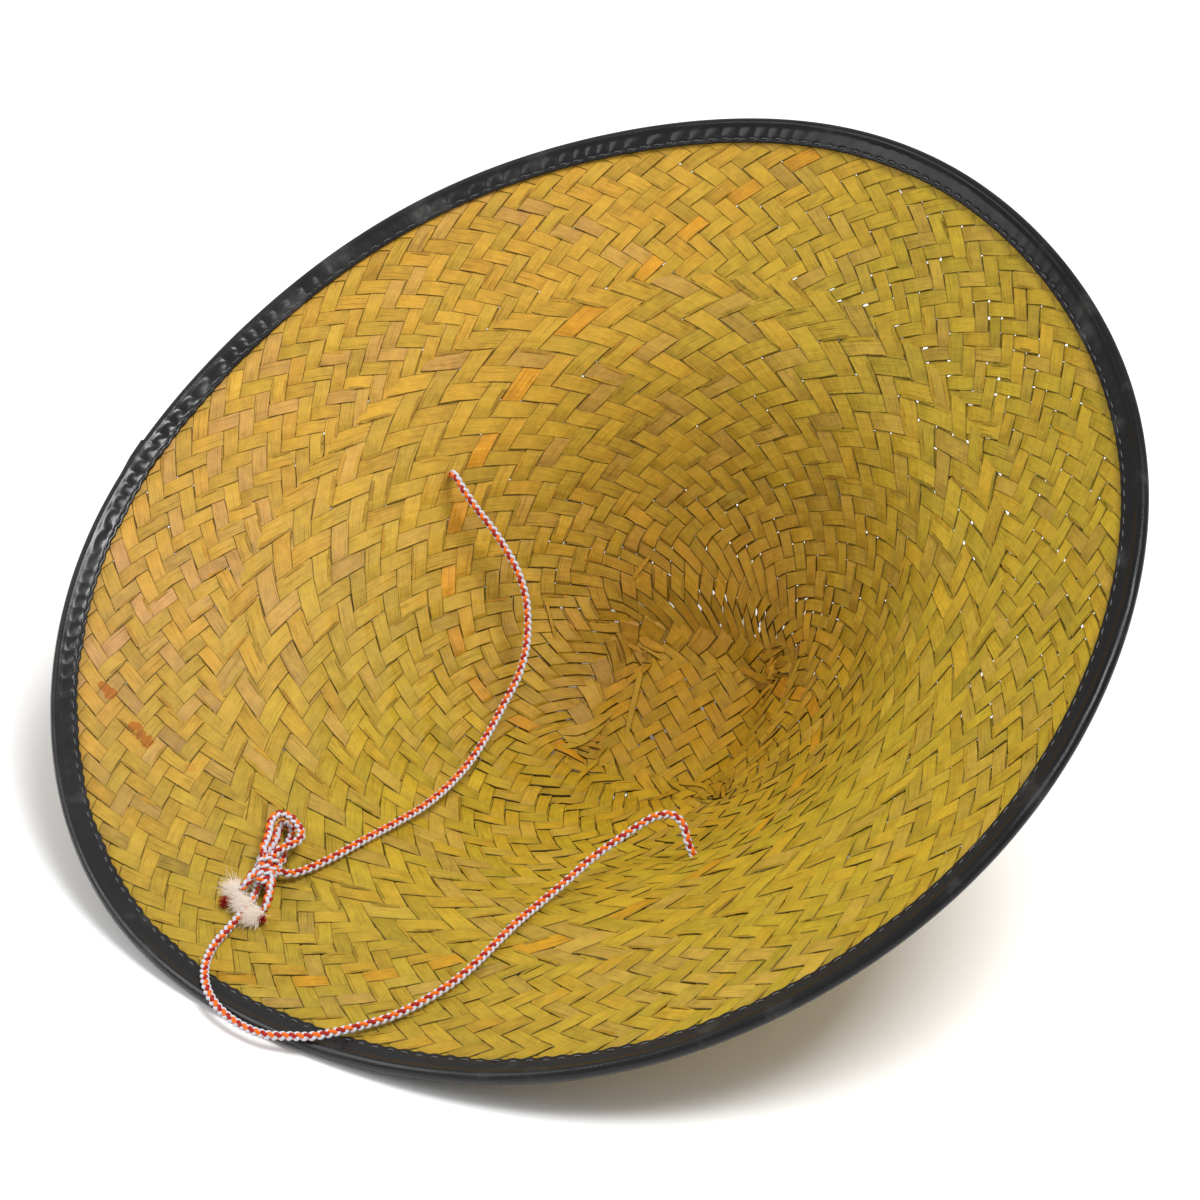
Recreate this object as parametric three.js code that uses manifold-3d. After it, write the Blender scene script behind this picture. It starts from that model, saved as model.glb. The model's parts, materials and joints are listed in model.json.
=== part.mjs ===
// A conical straw hat lying on its side, with a vinyl-bound rim and a braided chin cord. Millimetres.
// The hat is shaped crown down with its opening up (+Z), then tilted over until crown and rim touch the table.
import * as THREE from 'three';
import Module from 'manifold-3d';

const wasm = await Module();
wasm.setup();

// Sizes of the hat
const RIM_RADIUS = 185;
const STRAW_THICKNESS = 1.2;
const STEPS_ROUND = 90;
const ROWS_PER_STATION = 2;
const GAP = 0.3;

// Inside of the straw, from the rim to the middle of the crown
const INSIDE_STATIONS = [
  { name: 'rim', radius: 182.2, depth: 1.3 },
  { name: 'outer brim', radius: 157, depth: 13.5 },
  { name: 'middle of the brim', radius: 130, depth: 26 },
  { name: 'inner brim', radius: 111, depth: 36 },
  { name: 'foot of the crown', radius: 92.5, depth: 51 },
  { name: 'side of the crown', radius: 74, depth: 67 },
  { name: 'upper crown', radius: 55.5, depth: 79.6 },
  { name: 'shoulder', radius: 40, depth: 89.3 },
  { name: 'edge of the top', radius: 30, depth: 96.9 },
  { name: 'flat of the top', radius: 17, depth: 98.9 },
];

// The rim is a little out of round: waves round the hat, strongest at the rim
const ROUND_WAVES = [
  { name: 'oval', waves: 2, size: 0.5, phaseDegrees: -40 },
  { name: 'three-cornered', waves: 3, size: 1.65, phaseDegrees: -164 },
  { name: 'five small', waves: 5, size: 0.3, phaseDegrees: -173 },
  { name: 'six small', waves: 6, size: 0.35, phaseDegrees: -61 },
  { name: 'seven small', waves: 7, size: 0.4, phaseDegrees: -168 },
];
const WAVES_START_RADIUS = 95;
const FLAT_TOP_RADIUS = 18;
const DENTS_START_RADIUS = 28;

// The crown's shoulder sags flat onto the table where it carries the hat: lower than this it lies flat
const SAG_HEIGHT = 1.2;
const SAG_FADES_HEIGHT = 3.6;

// Shallow dents and bulges of the straw, pushed along the hat's axis (plus is towards the crown)
const DENTS = [
  { name: 'left corner of the mat', angleDegrees: -44, radius: 30, width: 13, push: 1.6 },
  { name: 'upper corner of the mat', angleDegrees: -129, radius: 30, width: 12, push: 1.2 },
  { name: 'right corner of the mat', angleDegrees: 129, radius: 42, width: 13, push: 1.6 },
  { name: 'lower corner of the mat', angleDegrees: 58, radius: 45, width: 13, push: 1.4 },
  { name: 'flat of the brim', angleDegrees: -75, radius: 135, width: 34, push: -1.8 },
  { name: 'sag of the brim', angleDegrees: 118, radius: 140, width: 36, push: 1.6 },
];

// Sizes of the binding's folded tape, measured from the edge of the straw
const TAPE_THICKNESS = 0.8;
const TAPE_FLANGE = 6.6;
const EDGE_ROLL = 2.4;
const ROLL_SWELL = 0.5;

// Sizes of the chin cord and its holes
const CORD_DIAMETER = 3;
const CORD_SIDES = 8;
const HOLE_DIAMETER = 4.4;
const HOLE_SIDES = 10;
const DRILL_LENGTH = 12;
const HOLES = {
  left: { angleDegrees: -109.7, radius: 100.9 },
  right: { angleDegrees: 46.9, radius: 86.5 },
};
const CORD_STEP = 7.5;
const MIN_CORD_STEPS = 3;
const STOP_KNOT_RADIUS = 3.8;
const KNOT_SEGMENTS = 12;
const KNOT_ROWS = 8;
const STRAND_LEAVES_STRAIGHT = [-STRAW_THICKNESS, 1.5, 4.2];

// Routes of the cord after the holes, in the laid hat's frame
const LEFT_STRAND = [
  [-89.6, 44.6, 82.6],
  [-86.0, 43.4, 80.2],
  [-79.0, 42.9, 74.0],
  [-72.0, 42.8, 68.3],
  [-65.3, 42.0, 62.4],
  [-59.0, 40.3, 56.8],
  [-53.0, 37.1, 49.9],
  [-48.1, 31.9, 43.1],
  [-44.3, 26.0, 37.1],
  [-41.2, 17.5, 30.9],
  [-39.3, 7.4, 25.5],
  [-36.9, -4.4, 20.0],
  [-34.2, -18.4, 15.8],
  [-32.3, -32.2, 13.9],
  [-31.1, -45.9, 13.6],
  [-31.4, -59.2, 14.0],
  [-32.0, -73.2, 14.7],
  [-33.6, -86.0, 14.2],
  [-36.1, -96.1, 13.7],
  [-38.5, -102.0, 14.0],
];
const RIGHT_STRAND = [
  [58.4, -22.4, 28.2],
  [56.3, -22.2, 30.4],
  [53.2, -23.0, 31.6],
  [49.3, -25.8, 30.6],
  [45.9, -30.3, 28.0],
  [42.4, -36.7, 24.6],
  [39.1, -45.4, 21.0],
  [37.9, -57.8, 18.0],
  [36.9, -69.7, 15.8],
  [37.4, -80.7, 15.4],
  [38.3, -92.1, 14.4],
  [39.1, -103.3, 13.1],
  [38.6, -114.1, 11.6],
  [36.4, -124.2, 10.1],
  [33.0, -134.0, 8.8],
  [27.7, -143.0, 7.8],
  [23.3, -150.0, 7.6],
  [18.8, -155.2, 7.2],
  [12.3, -158.2, 6.1],
  [5.5, -160.6, 4.9],
  [-2.3, -161.3, 4.4],
  [-10.6, -160.7, 4.8],
  [-18.4, -158.6, 5.8],
  [-24.8, -154.9, 7.0],
  [-31.4, -148.2, 7.4],
  [-36.0, -139.8, 8.0],
  [-38.0, -131.3, 8.8],
  [-39.5, -122.8, 10.0],
  [-41.7, -115.4, 11.2],
  [-44.2, -110.6, 12.0],
];

// The bow: a knot that sits on the brim, a doubled loop and two short tails
const BOW_KNOT = { middle: new THREE.Vector3(-44.5, -105.5, 15.7), radius: 4.2 };
const OUTER_LOOP = [
  [-48.4, -103.1, 19.6],
  [-50.2, -99.6, 20.6],
  [-52.2, -96.3, 21.0],
  [-54.6, -93.1, 21.8],
  [-55.8, -89.5, 22.5],
  [-54.9, -87.2, 22.7],
  [-52.2, -86.4, 22.3],
  [-48.9, -87.0, 21.4],
  [-45.9, -88.2, 20.6],
  [-43.9, -90.5, 19.9],
  [-43.4, -93.2, 19.5],
  [-43.9, -96.2, 19.5],
  [-44.3, -100.9, 19.6],
];
const INNER_LOOP = [
  [-49.6, -102.3, 15.2],
  [-51.4, -96.5, 15.6],
  [-53.0, -92.3, 16.4],
  [-55.3, -89.0, 17.2],
  [-56.1, -86.3, 17.7],
  [-54.9, -84.7, 17.8],
  [-52.7, -85.4, 17.2],
  [-50.5, -87.9, 16.5],
  [-49.0, -91.0, 15.9],
  [-47.5, -94.8, 15.5],
  [-44.3, -99.5, 15.2],
];
const UPPER_TAIL = [
  [-44.9, -111.8, 16.8],
  [-44.6, -114.8, 15.2],
  [-45.4, -117.4, 13.3],
];
const LOWER_TAIL = [
  [-38.6, -110.4, 15.6],
  [-36.1, -113.8, 14.2],
  [-34.6, -116.6, 12.7],
  [-33.5, -119.3, 11.2],
];

const MATERIALS = {
  straw: { color: 0xc9a33c, roughness: 0.62, metalness: 0 },
  vinyl: { color: 0x17181a, roughness: 0.34, metalness: 0 },
  cord: { color: 0xd0562b, roughness: 0.8, metalness: 0 },
};

function material(name) {
  return new THREE.MeshStandardMaterial({ name, ...MATERIALS[name] });
}

function radians(degrees) {
  return THREE.MathUtils.degToRad(degrees);
}

// One closed solid from a geometry: joined corners, no empty triangles, faces outwards
function closedSolid(geometry) {
  const position = geometry.getAttribute('position');
  const index = geometry.index ? Array.from(geometry.index.array) : [...Array(position.count).keys()];
  const places = new Map();
  const corners = [];
  const joined = [];
  for (let i = 0; i < position.count; i += 1) {
    const corner = new THREE.Vector3().fromBufferAttribute(position, i);
    const key = corner.toArray().map((value) => Math.round(value * 1e4)).join(' ');
    if (!places.has(key)) {
      places.set(key, corners.length);
      corners.push(corner);
    }
    joined.push(places.get(key));
  }
  const triangles = [];
  for (let i = 0; i < index.length; i += 3) {
    const [a, b, c] = [joined[index[i]], joined[index[i + 1]], joined[index[i + 2]]];
    if (a !== b && b !== c && c !== a) triangles.push([a, b, c]);
  }
  const volume = triangles.reduce((sum, [a, b, c]) => (
    sum + corners[a].dot(new THREE.Vector3().crossVectors(corners[b], corners[c])) / 6), 0);
  const facing = volume < 0 ? triangles.map(([a, b, c]) => [a, c, b]) : triangles;
  return new wasm.Manifold(new wasm.Mesh({
    numProp: 3,
    vertProperties: new Float32Array(corners.flatMap((corner) => corner.toArray())),
    triVerts: new Uint32Array(facing.flat()),
  }));
}

function geometryOf(solid) {
  const { vertProperties, triVerts } = solid.getMesh();
  const geometry = new THREE.BufferGeometry();
  geometry.setAttribute('position', new THREE.Float32BufferAttribute(vertProperties, 3));
  geometry.setIndex(new THREE.Uint32BufferAttribute(triVerts, 1));
  geometry.computeVertexNormals();
  return geometry;
}

// Inside of the straw as a smooth curve of (radius, height), height 0 at the rim and less towards the crown
const insideCurve = new THREE.SplineCurve(
  INSIDE_STATIONS.map(({ radius, depth }) => new THREE.Vector2(radius, -depth)),
);

// Direction that leaves the hollow through the straw at a share of the curve
function outOfHollow(share) {
  const along = insideCurve.getTangent(share);
  return new THREE.Vector2(-along.y, along.x);
}

function strawProfile() {
  const rows = (INSIDE_STATIONS.length - 1) * ROWS_PER_STATION;
  const inside = [];
  const outside = [];
  for (let row = 0; row <= rows; row += 1) {
    const share = row / rows;
    const point = insideCurve.getPoint(share);
    inside.push(point);
    outside.push(point.clone().addScaledVector(outOfHollow(share), STRAW_THICKNESS));
  }
  for (const side of [inside, outside]) side.push(new THREE.Vector2(0, side[rows].y));
  return [...inside.reverse(), ...outside];
}

// The folded tape as a closed outline: both flanges, and the round roll over the straw's edge
function bindingProfile() {
  const edgeInside = insideCurve.getPoint(0);
  const acrossStraw = outOfHollow(0);
  const outwards = new THREE.Vector2(-acrossStraw.y, acrossStraw.x);
  const middle = edgeInside.clone().addScaledVector(acrossStraw, STRAW_THICKNESS / 2);
  const near = STRAW_THICKNESS / 2 + GAP;
  const far = near + TAPE_THICKNESS;
  const swollen = far + ROLL_SWELL;
  const half = [
    { out: -TAPE_FLANGE, up: near },
    { out: -TAPE_FLANGE, up: far },
    { out: -EDGE_ROLL / 2, up: far },
    { out: 0, up: swollen },
    { out: EDGE_ROLL * 0.5, up: swollen },
    { out: EDGE_ROLL * 0.85, up: swollen * 0.6 },
  ];
  const tip = { out: EDGE_ROLL, up: 0 };
  const below = half.map(({ out, up }) => ({ out, up: -up })).reverse();
  const slot = [{ out: GAP, up: -near }, { out: GAP, up: near }];
  const outline = [...half, tip, ...below, ...slot, half[0]];
  return outline.map(({ out, up }) => (
    middle.clone().addScaledVector(outwards, out).addScaledVector(acrossStraw, -up)));
}

// How far the straw stands out of round at an angle from the hat's lowest point
function outOfRound(angle) {
  return ROUND_WAVES.reduce((sum, { waves, size, phaseDegrees }) => (
    sum + size * Math.cos(waves * angle - radians(phaseDegrees))), 0);
}

function dentDepth(angle, radius) {
  const share = THREE.MathUtils.smoothstep(radius, FLAT_TOP_RADIUS, DENTS_START_RADIUS);
  return share * DENTS.reduce((sum, dent) => {
    const middle = radians(dent.angleDegrees);
    const apartSquared = radius ** 2 + dent.radius ** 2
      - 2 * radius * dent.radius * Math.cos(angle - middle);
    return sum + dent.push * Math.exp(-apartSquared / dent.width ** 2);
  }, 0);
}

// Turned solid with the hat's own unevenness, opening up, angle 0 towards -Y
function turnedStraw(profile) {
  const geometry = new THREE.LatheGeometry(profile, STEPS_ROUND);
  geometry.rotateX(Math.PI / 2);
  const position = geometry.getAttribute('position');
  for (let i = 0; i < position.count; i += 1) {
    const x = position.getX(i);
    const y = position.getY(i);
    const radius = Math.hypot(x, y);
    const angle = Math.atan2(x, -y);
    const share = THREE.MathUtils.smoothstep(radius, WAVES_START_RADIUS, RIM_RADIUS);
    const scale = radius > 0 ? (radius + outOfRound(angle) * share) / radius : 1;
    position.setXYZ(i, x * scale, y * scale, position.getZ(i) - dentDepth(angle, radius));
  }
  return geometry;
}

// Tilt at which the rim's lowest point and the crown touch one level plane
function restTilt(shell, binding) {
  const lowest = (geometry, tilt) => {
    const position = geometry.getAttribute('position');
    let low = Infinity;
    for (let i = 0; i < position.count; i += 1) {
      low = Math.min(low, position.getY(i) * Math.sin(tilt) + position.getZ(i) * Math.cos(tilt));
    }
    return low;
  };
  let less = radians(15);
  let more = radians(50);
  while (more - less > 1e-7) {
    const tilt = (less + more) / 2;
    if (lowest(binding, tilt) > lowest(shell, tilt)) less = tilt;
    else more = tilt;
  }
  return less;
}

// The laid crown with its shoulder flat on the table, both faces of the straw moved alike
function sagOntoTable(geometry, profileLength) {
  const position = geometry.getAttribute('position');
  const drops = [];
  for (let i = 0; i < position.count; i += 1) {
    const row = i % profileLength;
    const outside = i - row + Math.max(row, profileLength - 1 - row);
    const height = position.getZ(outside);
    const share = THREE.MathUtils.smoothstep(height, SAG_HEIGHT, SAG_FADES_HEIGHT);
    drops.push(position.getY(i) > 0 ? height * (1 - share) : 0);
  }
  drops.forEach((drop, i) => position.setZ(i, position.getZ(i) - drop));
}

// Where the laid hat stands: its tilt, and the shift that puts the middle of its foot at the origin
function laidPose(shapes, tilt) {
  const box = new THREE.Box3();
  for (const shape of shapes) {
    const laid = shape.clone().rotateX(tilt);
    laid.computeBoundingBox();
    box.union(laid.boundingBox);
  }
  const middle = box.getCenter(new THREE.Vector3());
  return new THREE.Matrix4()
    .makeTranslation(-middle.x, -middle.y, -box.min.z)
    .multiply(new THREE.Matrix4().makeRotationX(tilt));
}

// Place and inward direction of a cord hole on the inside of the laid straw
function holePlace({ angleDegrees, radius }, pose) {
  const angle = radians(angleDegrees);
  const onStraw = (atAngle, atRadius) => {
    let less = 0;
    let more = 1;
    while (more - less > 1e-7) {
      const share = (less + more) / 2;
      if (insideCurve.getPoint(share).x > atRadius) less = share;
      else more = share;
    }
    const wave = outOfRound(atAngle) * THREE.MathUtils.smoothstep(atRadius, WAVES_START_RADIUS, RIM_RADIUS);
    const height = insideCurve.getPoint(less).y - dentDepth(atAngle, atRadius);
    return new THREE.Vector3(
      (atRadius + wave) * Math.sin(atAngle),
      -(atRadius + wave) * Math.cos(atAngle),
      height,
    ).applyMatrix4(pose);
  };
  const middle = onStraw(angle, radius);
  const outwards = onStraw(angle, radius + 1).sub(middle);
  const around = onStraw(angle + 1 / radius, radius).sub(middle);
  return { middle, inwards: outwards.cross(around).normalize() };
}

function alongHole({ middle, inwards }, distance) {
  return middle.clone().addScaledVector(inwards, distance);
}

// A round drill that stands through the straw at a hole
function holeDrill(place) {
  const drill = new THREE.CylinderGeometry(HOLE_DIAMETER / 2, HOLE_DIAMETER / 2, DRILL_LENGTH, HOLE_SIDES);
  const turn = new THREE.Quaternion().setFromUnitVectors(new THREE.Vector3(0, 1, 0), place.inwards);
  drill.applyQuaternion(turn);
  drill.translate(...place.middle);
  return closedSolid(drill);
}

// A straight or bent run of cord with a plain round section
function cordRun(points) {
  const path = new THREE.CatmullRomCurve3(points, false, 'centripetal');
  const corners = [];
  for (let side = 0; side < CORD_SIDES; side += 1) {
    const angle = (side / CORD_SIDES) * 2 * Math.PI;
    corners.push(new THREE.Vector2(Math.cos(angle), Math.sin(angle)).multiplyScalar(CORD_DIAMETER / 2));
  }
  const steps = Math.max(MIN_CORD_STEPS, Math.round(path.getLength() / CORD_STEP));
  return new THREE.ExtrudeGeometry(new THREE.Shape(corners), { steps, extrudePath: path, bevelEnabled: false });
}

function knotBall({ middle, radius }) {
  return new THREE.SphereGeometry(radius, KNOT_SEGMENTS, KNOT_ROWS).translate(...middle);
}

// End of a run of cord that faces a knot across the gap, on the way from the knot to a point
function besideKnot({ middle, radius }, point) {
  const direction = point.clone().sub(middle).normalize();
  return middle.clone().addScaledVector(direction, radius + GAP);
}

function points(list) {
  return list.map((place) => new THREE.Vector3(...place));
}

const strawOutline = strawProfile();
const straw = turnedStraw(strawOutline);
const binding = turnedStraw(bindingProfile());
const tilt = restTilt(straw, binding);
const pose = laidPose([straw, binding], tilt);
straw.applyMatrix4(pose);
binding.applyMatrix4(pose);
sagOntoTable(straw, strawOutline.length);

const leftHole = holePlace(HOLES.left, pose);
const rightHole = holePlace(HOLES.right, pose);

function strawShell() {
  const drills = [leftHole, rightHole].map(holeDrill);
  return drills.reduce((shell, drill) => shell.subtract(drill), closedSolid(straw));
}

function stopKnot(hole) {
  return { middle: alongHole(hole, -STRAW_THICKNESS - GAP - STOP_KNOT_RADIUS), radius: STOP_KNOT_RADIUS };
}

// A strand from its stop knot outside the straw, through the hole and along its route to the bow
function strand(hole, route) {
  const start = STRAND_LEAVES_STRAIGHT.map((distance) => alongHole(hole, distance));
  const way = points(route);
  return closedSolid(cordRun([...start, ...way, besideKnot(BOW_KNOT, way[way.length - 1])]));
}

function bowLoop(route) {
  const way = points(route);
  return closedSolid(cordRun([besideKnot(BOW_KNOT, way[0]), ...way, besideKnot(BOW_KNOT, way[way.length - 1])]));
}

function cordTail(route) {
  const way = points(route);
  return closedSolid(cordRun([besideKnot(BOW_KNOT, way[0]), ...way]));
}

const PIECES = [
  { name: 'straw_shell', slot: 'straw', solid: strawShell },
  { name: 'rim_binding', slot: 'vinyl', solid: () => closedSolid(binding) },
  { name: 'chin_cord_left', slot: 'cord', solid: () => strand(leftHole, LEFT_STRAND) },
  { name: 'chin_cord_right', slot: 'cord', solid: () => strand(rightHole, RIGHT_STRAND) },
  { name: 'stop_knot_left', slot: 'cord', solid: () => closedSolid(knotBall(stopKnot(leftHole))) },
  { name: 'stop_knot_right', slot: 'cord', solid: () => closedSolid(knotBall(stopKnot(rightHole))) },
  { name: 'bow_knot', slot: 'cord', solid: () => closedSolid(knotBall(BOW_KNOT)) },
  { name: 'bow_loop_outer', slot: 'cord', solid: () => bowLoop(OUTER_LOOP) },
  { name: 'bow_loop_inner', slot: 'cord', solid: () => bowLoop(INNER_LOOP) },
  { name: 'cord_tail_upper', slot: 'cord', solid: () => cordTail(UPPER_TAIL) },
  { name: 'cord_tail_lower', slot: 'cord', solid: () => cordTail(LOWER_TAIL) },
];

const hat = new THREE.Group();
hat.name = 'straw_hat';
for (const { name, slot, solid } of PIECES) {
  const mesh = new THREE.Mesh(geometryOf(solid()), material(slot));
  mesh.name = name;
  hat.add(mesh);
}

export default hat;
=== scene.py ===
# A laid straw hat: a woven palm-leaf cone, a stitched vinyl edge and a braided chin cord.
import json
import math

import bpy
import numpy as np
from mathutils import Vector
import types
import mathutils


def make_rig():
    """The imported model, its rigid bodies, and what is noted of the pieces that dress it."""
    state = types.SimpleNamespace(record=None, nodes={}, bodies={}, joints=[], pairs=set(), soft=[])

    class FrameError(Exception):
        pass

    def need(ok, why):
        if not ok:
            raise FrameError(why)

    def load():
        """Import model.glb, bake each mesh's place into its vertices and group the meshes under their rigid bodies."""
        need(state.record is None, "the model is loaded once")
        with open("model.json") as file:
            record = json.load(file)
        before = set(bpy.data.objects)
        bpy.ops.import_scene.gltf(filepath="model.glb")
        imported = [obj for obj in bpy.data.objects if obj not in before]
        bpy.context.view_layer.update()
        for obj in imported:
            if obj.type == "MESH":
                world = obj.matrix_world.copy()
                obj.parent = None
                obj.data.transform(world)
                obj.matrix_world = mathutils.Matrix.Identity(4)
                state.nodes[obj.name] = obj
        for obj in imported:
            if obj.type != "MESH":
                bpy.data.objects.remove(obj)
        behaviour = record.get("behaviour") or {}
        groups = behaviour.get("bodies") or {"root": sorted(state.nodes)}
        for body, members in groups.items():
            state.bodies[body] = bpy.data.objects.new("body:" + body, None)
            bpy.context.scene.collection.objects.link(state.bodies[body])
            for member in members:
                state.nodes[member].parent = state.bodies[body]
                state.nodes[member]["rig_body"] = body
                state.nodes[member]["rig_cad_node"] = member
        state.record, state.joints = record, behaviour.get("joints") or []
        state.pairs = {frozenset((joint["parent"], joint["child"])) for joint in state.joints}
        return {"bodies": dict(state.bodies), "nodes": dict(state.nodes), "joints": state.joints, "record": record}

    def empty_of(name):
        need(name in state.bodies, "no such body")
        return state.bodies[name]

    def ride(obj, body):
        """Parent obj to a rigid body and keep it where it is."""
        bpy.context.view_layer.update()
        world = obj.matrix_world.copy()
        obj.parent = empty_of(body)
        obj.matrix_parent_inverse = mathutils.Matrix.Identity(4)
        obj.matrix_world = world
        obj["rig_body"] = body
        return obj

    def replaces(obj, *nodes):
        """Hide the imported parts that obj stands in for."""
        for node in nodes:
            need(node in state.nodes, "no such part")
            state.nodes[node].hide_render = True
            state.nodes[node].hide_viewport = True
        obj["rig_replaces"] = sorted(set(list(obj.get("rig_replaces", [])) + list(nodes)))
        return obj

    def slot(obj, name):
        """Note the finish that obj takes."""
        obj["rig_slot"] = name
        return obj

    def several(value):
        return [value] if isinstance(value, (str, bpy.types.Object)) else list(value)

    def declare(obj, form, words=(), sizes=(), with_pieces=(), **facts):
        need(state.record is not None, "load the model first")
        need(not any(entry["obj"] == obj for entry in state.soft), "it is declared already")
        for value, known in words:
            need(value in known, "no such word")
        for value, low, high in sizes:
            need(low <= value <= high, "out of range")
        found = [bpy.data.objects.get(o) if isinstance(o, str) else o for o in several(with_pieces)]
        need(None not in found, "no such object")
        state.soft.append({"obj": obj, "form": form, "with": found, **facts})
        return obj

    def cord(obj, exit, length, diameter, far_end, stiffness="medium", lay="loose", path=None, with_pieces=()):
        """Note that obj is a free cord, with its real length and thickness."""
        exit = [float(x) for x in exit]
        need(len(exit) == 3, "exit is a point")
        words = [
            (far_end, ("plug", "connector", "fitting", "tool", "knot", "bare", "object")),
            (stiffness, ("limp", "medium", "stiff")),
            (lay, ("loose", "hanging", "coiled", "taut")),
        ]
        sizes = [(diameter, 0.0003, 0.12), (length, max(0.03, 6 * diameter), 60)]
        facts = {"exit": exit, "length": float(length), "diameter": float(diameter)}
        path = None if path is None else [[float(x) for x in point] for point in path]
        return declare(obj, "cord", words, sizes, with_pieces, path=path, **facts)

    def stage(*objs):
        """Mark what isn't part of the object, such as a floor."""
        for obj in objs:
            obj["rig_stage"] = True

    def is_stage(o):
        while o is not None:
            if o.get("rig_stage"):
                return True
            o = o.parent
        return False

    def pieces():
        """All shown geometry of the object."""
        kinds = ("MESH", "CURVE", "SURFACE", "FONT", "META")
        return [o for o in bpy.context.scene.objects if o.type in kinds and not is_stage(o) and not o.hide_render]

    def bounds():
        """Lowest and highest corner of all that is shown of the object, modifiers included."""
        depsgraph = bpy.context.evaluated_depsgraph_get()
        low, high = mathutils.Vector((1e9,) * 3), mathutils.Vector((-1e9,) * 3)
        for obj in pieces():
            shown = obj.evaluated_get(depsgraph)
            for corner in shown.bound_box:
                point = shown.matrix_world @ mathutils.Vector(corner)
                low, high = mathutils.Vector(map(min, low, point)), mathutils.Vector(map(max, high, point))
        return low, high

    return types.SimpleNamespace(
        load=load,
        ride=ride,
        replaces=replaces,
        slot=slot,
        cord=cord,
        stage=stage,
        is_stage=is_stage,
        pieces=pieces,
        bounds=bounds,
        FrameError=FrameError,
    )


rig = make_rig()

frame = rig.load()
cad_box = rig.bounds()
chance = np.random.default_rng(11)
MM = 0.001


# Studio
# A pale floor without an edge in view, an even pale sky and two large soft lights. The camera looks
# down into the hollow of the hat from its lower left side.
CAMERA_PLACE = (0.525648, -0.678465, 0.538327)
CAMERA_AZIMUTH = math.radians(37.3591)
CAMERA_ELEVATION = math.radians(28.0119)
LENS_MM = 90.0
FLOOR_SIZE = 12.0
FLOOR_COLOUR = (0.9, 0.9, 0.895, 1)
SKY_STRENGTH = 0.56
LIGHTS = (
    {"name": "key_light", "place": (1.5, 0.2, 3.4), "size": 1.5, "watts": 132},
    {"name": "fill_light", "place": (-2.2, -2.0, 2.4), "size": 2.2, "watts": 50},
)


def add_node(tree, kind, inputs=None, **settings):
    """Adds a node to a tree, with its settings, and with its inputs as values or as sockets to link."""
    node = tree.nodes.new(kind)
    for name, value in settings.items():
        setattr(node, name, value)
    for name, value in (inputs or {}).items():
        if isinstance(value, bpy.types.NodeSocket):
            tree.links.new(value, node.inputs[name])
        else:
            node.inputs[name].default_value = value
    return node


def new_material(name, roughness, **shader_inputs):
    """A material, with its tree and its shader."""
    material = bpy.data.materials.new(name)
    material.use_nodes = True
    tree = material.node_tree
    shader = tree.nodes["Principled BSDF"]
    shader.inputs["Roughness"].default_value = roughness
    for socket, value in shader_inputs.items():
        shader.inputs[socket.replace("_", " ")].default_value = value
    return material, tree, shader


def new_object(name, data):
    placed = bpy.data.objects.new(name, data)
    scene.collection.objects.link(placed)
    return placed


scene = bpy.context.scene
camera = new_object("camera", bpy.data.cameras.new("camera"))
camera.data.lens = LENS_MM
camera.location = CAMERA_PLACE
looking = Vector((
    -math.sin(CAMERA_AZIMUTH) * math.cos(CAMERA_ELEVATION),
    math.cos(CAMERA_AZIMUTH) * math.cos(CAMERA_ELEVATION),
    -math.sin(CAMERA_ELEVATION),
))
camera.rotation_euler = looking.to_track_quat("-Z", "Y").to_euler()
scene.camera = camera
scene.view_settings.view_transform = "Standard"

for light in LIGHTS:
    lamp = bpy.data.lights.new(light["name"], "AREA")
    lamp.size = light["size"]
    lamp.energy = light["watts"]
    holder = new_object(light["name"], lamp)
    holder.location = light["place"]
    holder.rotation_euler = (-Vector(light["place"])).to_track_quat("-Z", "Y").to_euler()

world = bpy.data.worlds.new("pale_sky")
world.use_nodes = True
world.node_tree.nodes["Background"].inputs["Color"].default_value = (1, 1, 1, 1)
world.node_tree.nodes["Background"].inputs["Strength"].default_value = SKY_STRENGTH
scene.world = world

bpy.ops.mesh.primitive_plane_add(size=FLOOR_SIZE)
floor = bpy.context.object
floor.name = "floor"
floor_finish, _, _ = new_material("floor_paper", 0.9, Base_Color=FLOOR_COLOUR)
floor.data.materials.append(floor_finish)
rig.stage(floor)


# Form of the straw
# The weave follows one smooth form: a flared cone with a flat top, a little out of round and dented,
# tilted over until rim and crown touch the floor. It only guides the strips and is taken away after.
HAT_TILT = math.radians(31.8954)
RIM_CENTRE = np.array([-0.41068, -2.96081, 99.37389]) * MM
RIM_RADIUS = 185
STRAW_EDGE = 182.2
STRAW_THICKNESS = 1.2
FORM_STATIONS = np.array([
    # radius, depth below the rim
    (182.2, 1.3), (157, 13.5), (130, 26), (111, 36), (92.5, 51),
    (74, 67), (55.5, 79.6), (40, 89.3), (30, 96.9), (17, 98.9),
])
ROUND_WAVES = (
    # waves round the hat, size, phase in degrees
    (2, 0.5, -40), (3, 1.65, -164), (5, 0.3, -173), (6, 0.35, -61), (7, 0.4, -168),
)
DENTS = (
    # angle in degrees, radius, width, push towards the crown
    (-44, 30, 13, 1.6), (-129, 30, 12, 1.2), (129, 42, 13, 1.6), (58, 45, 13, 1.4),
    (-75, 135, 34, -1.8), (118, 140, 36, 1.6),
)
SAG_HEIGHT = 1.2
SAG_FADES_HEIGHT = 3.6
WAVES_BEGIN = 95
DENTS_BEGIN = (18, 28)
FORM_EDGE = 184
FORM_RINGS = 93
FORM_SECTORS = 240
FLAT_SIZE = 0.4


def ease(value, start, end):
    """0 up to the start, 1 from the end on, and smooth in between."""
    share = np.clip((value - start) / (end - start), 0, 1)
    return share * share * (3 - 2 * share)


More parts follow.
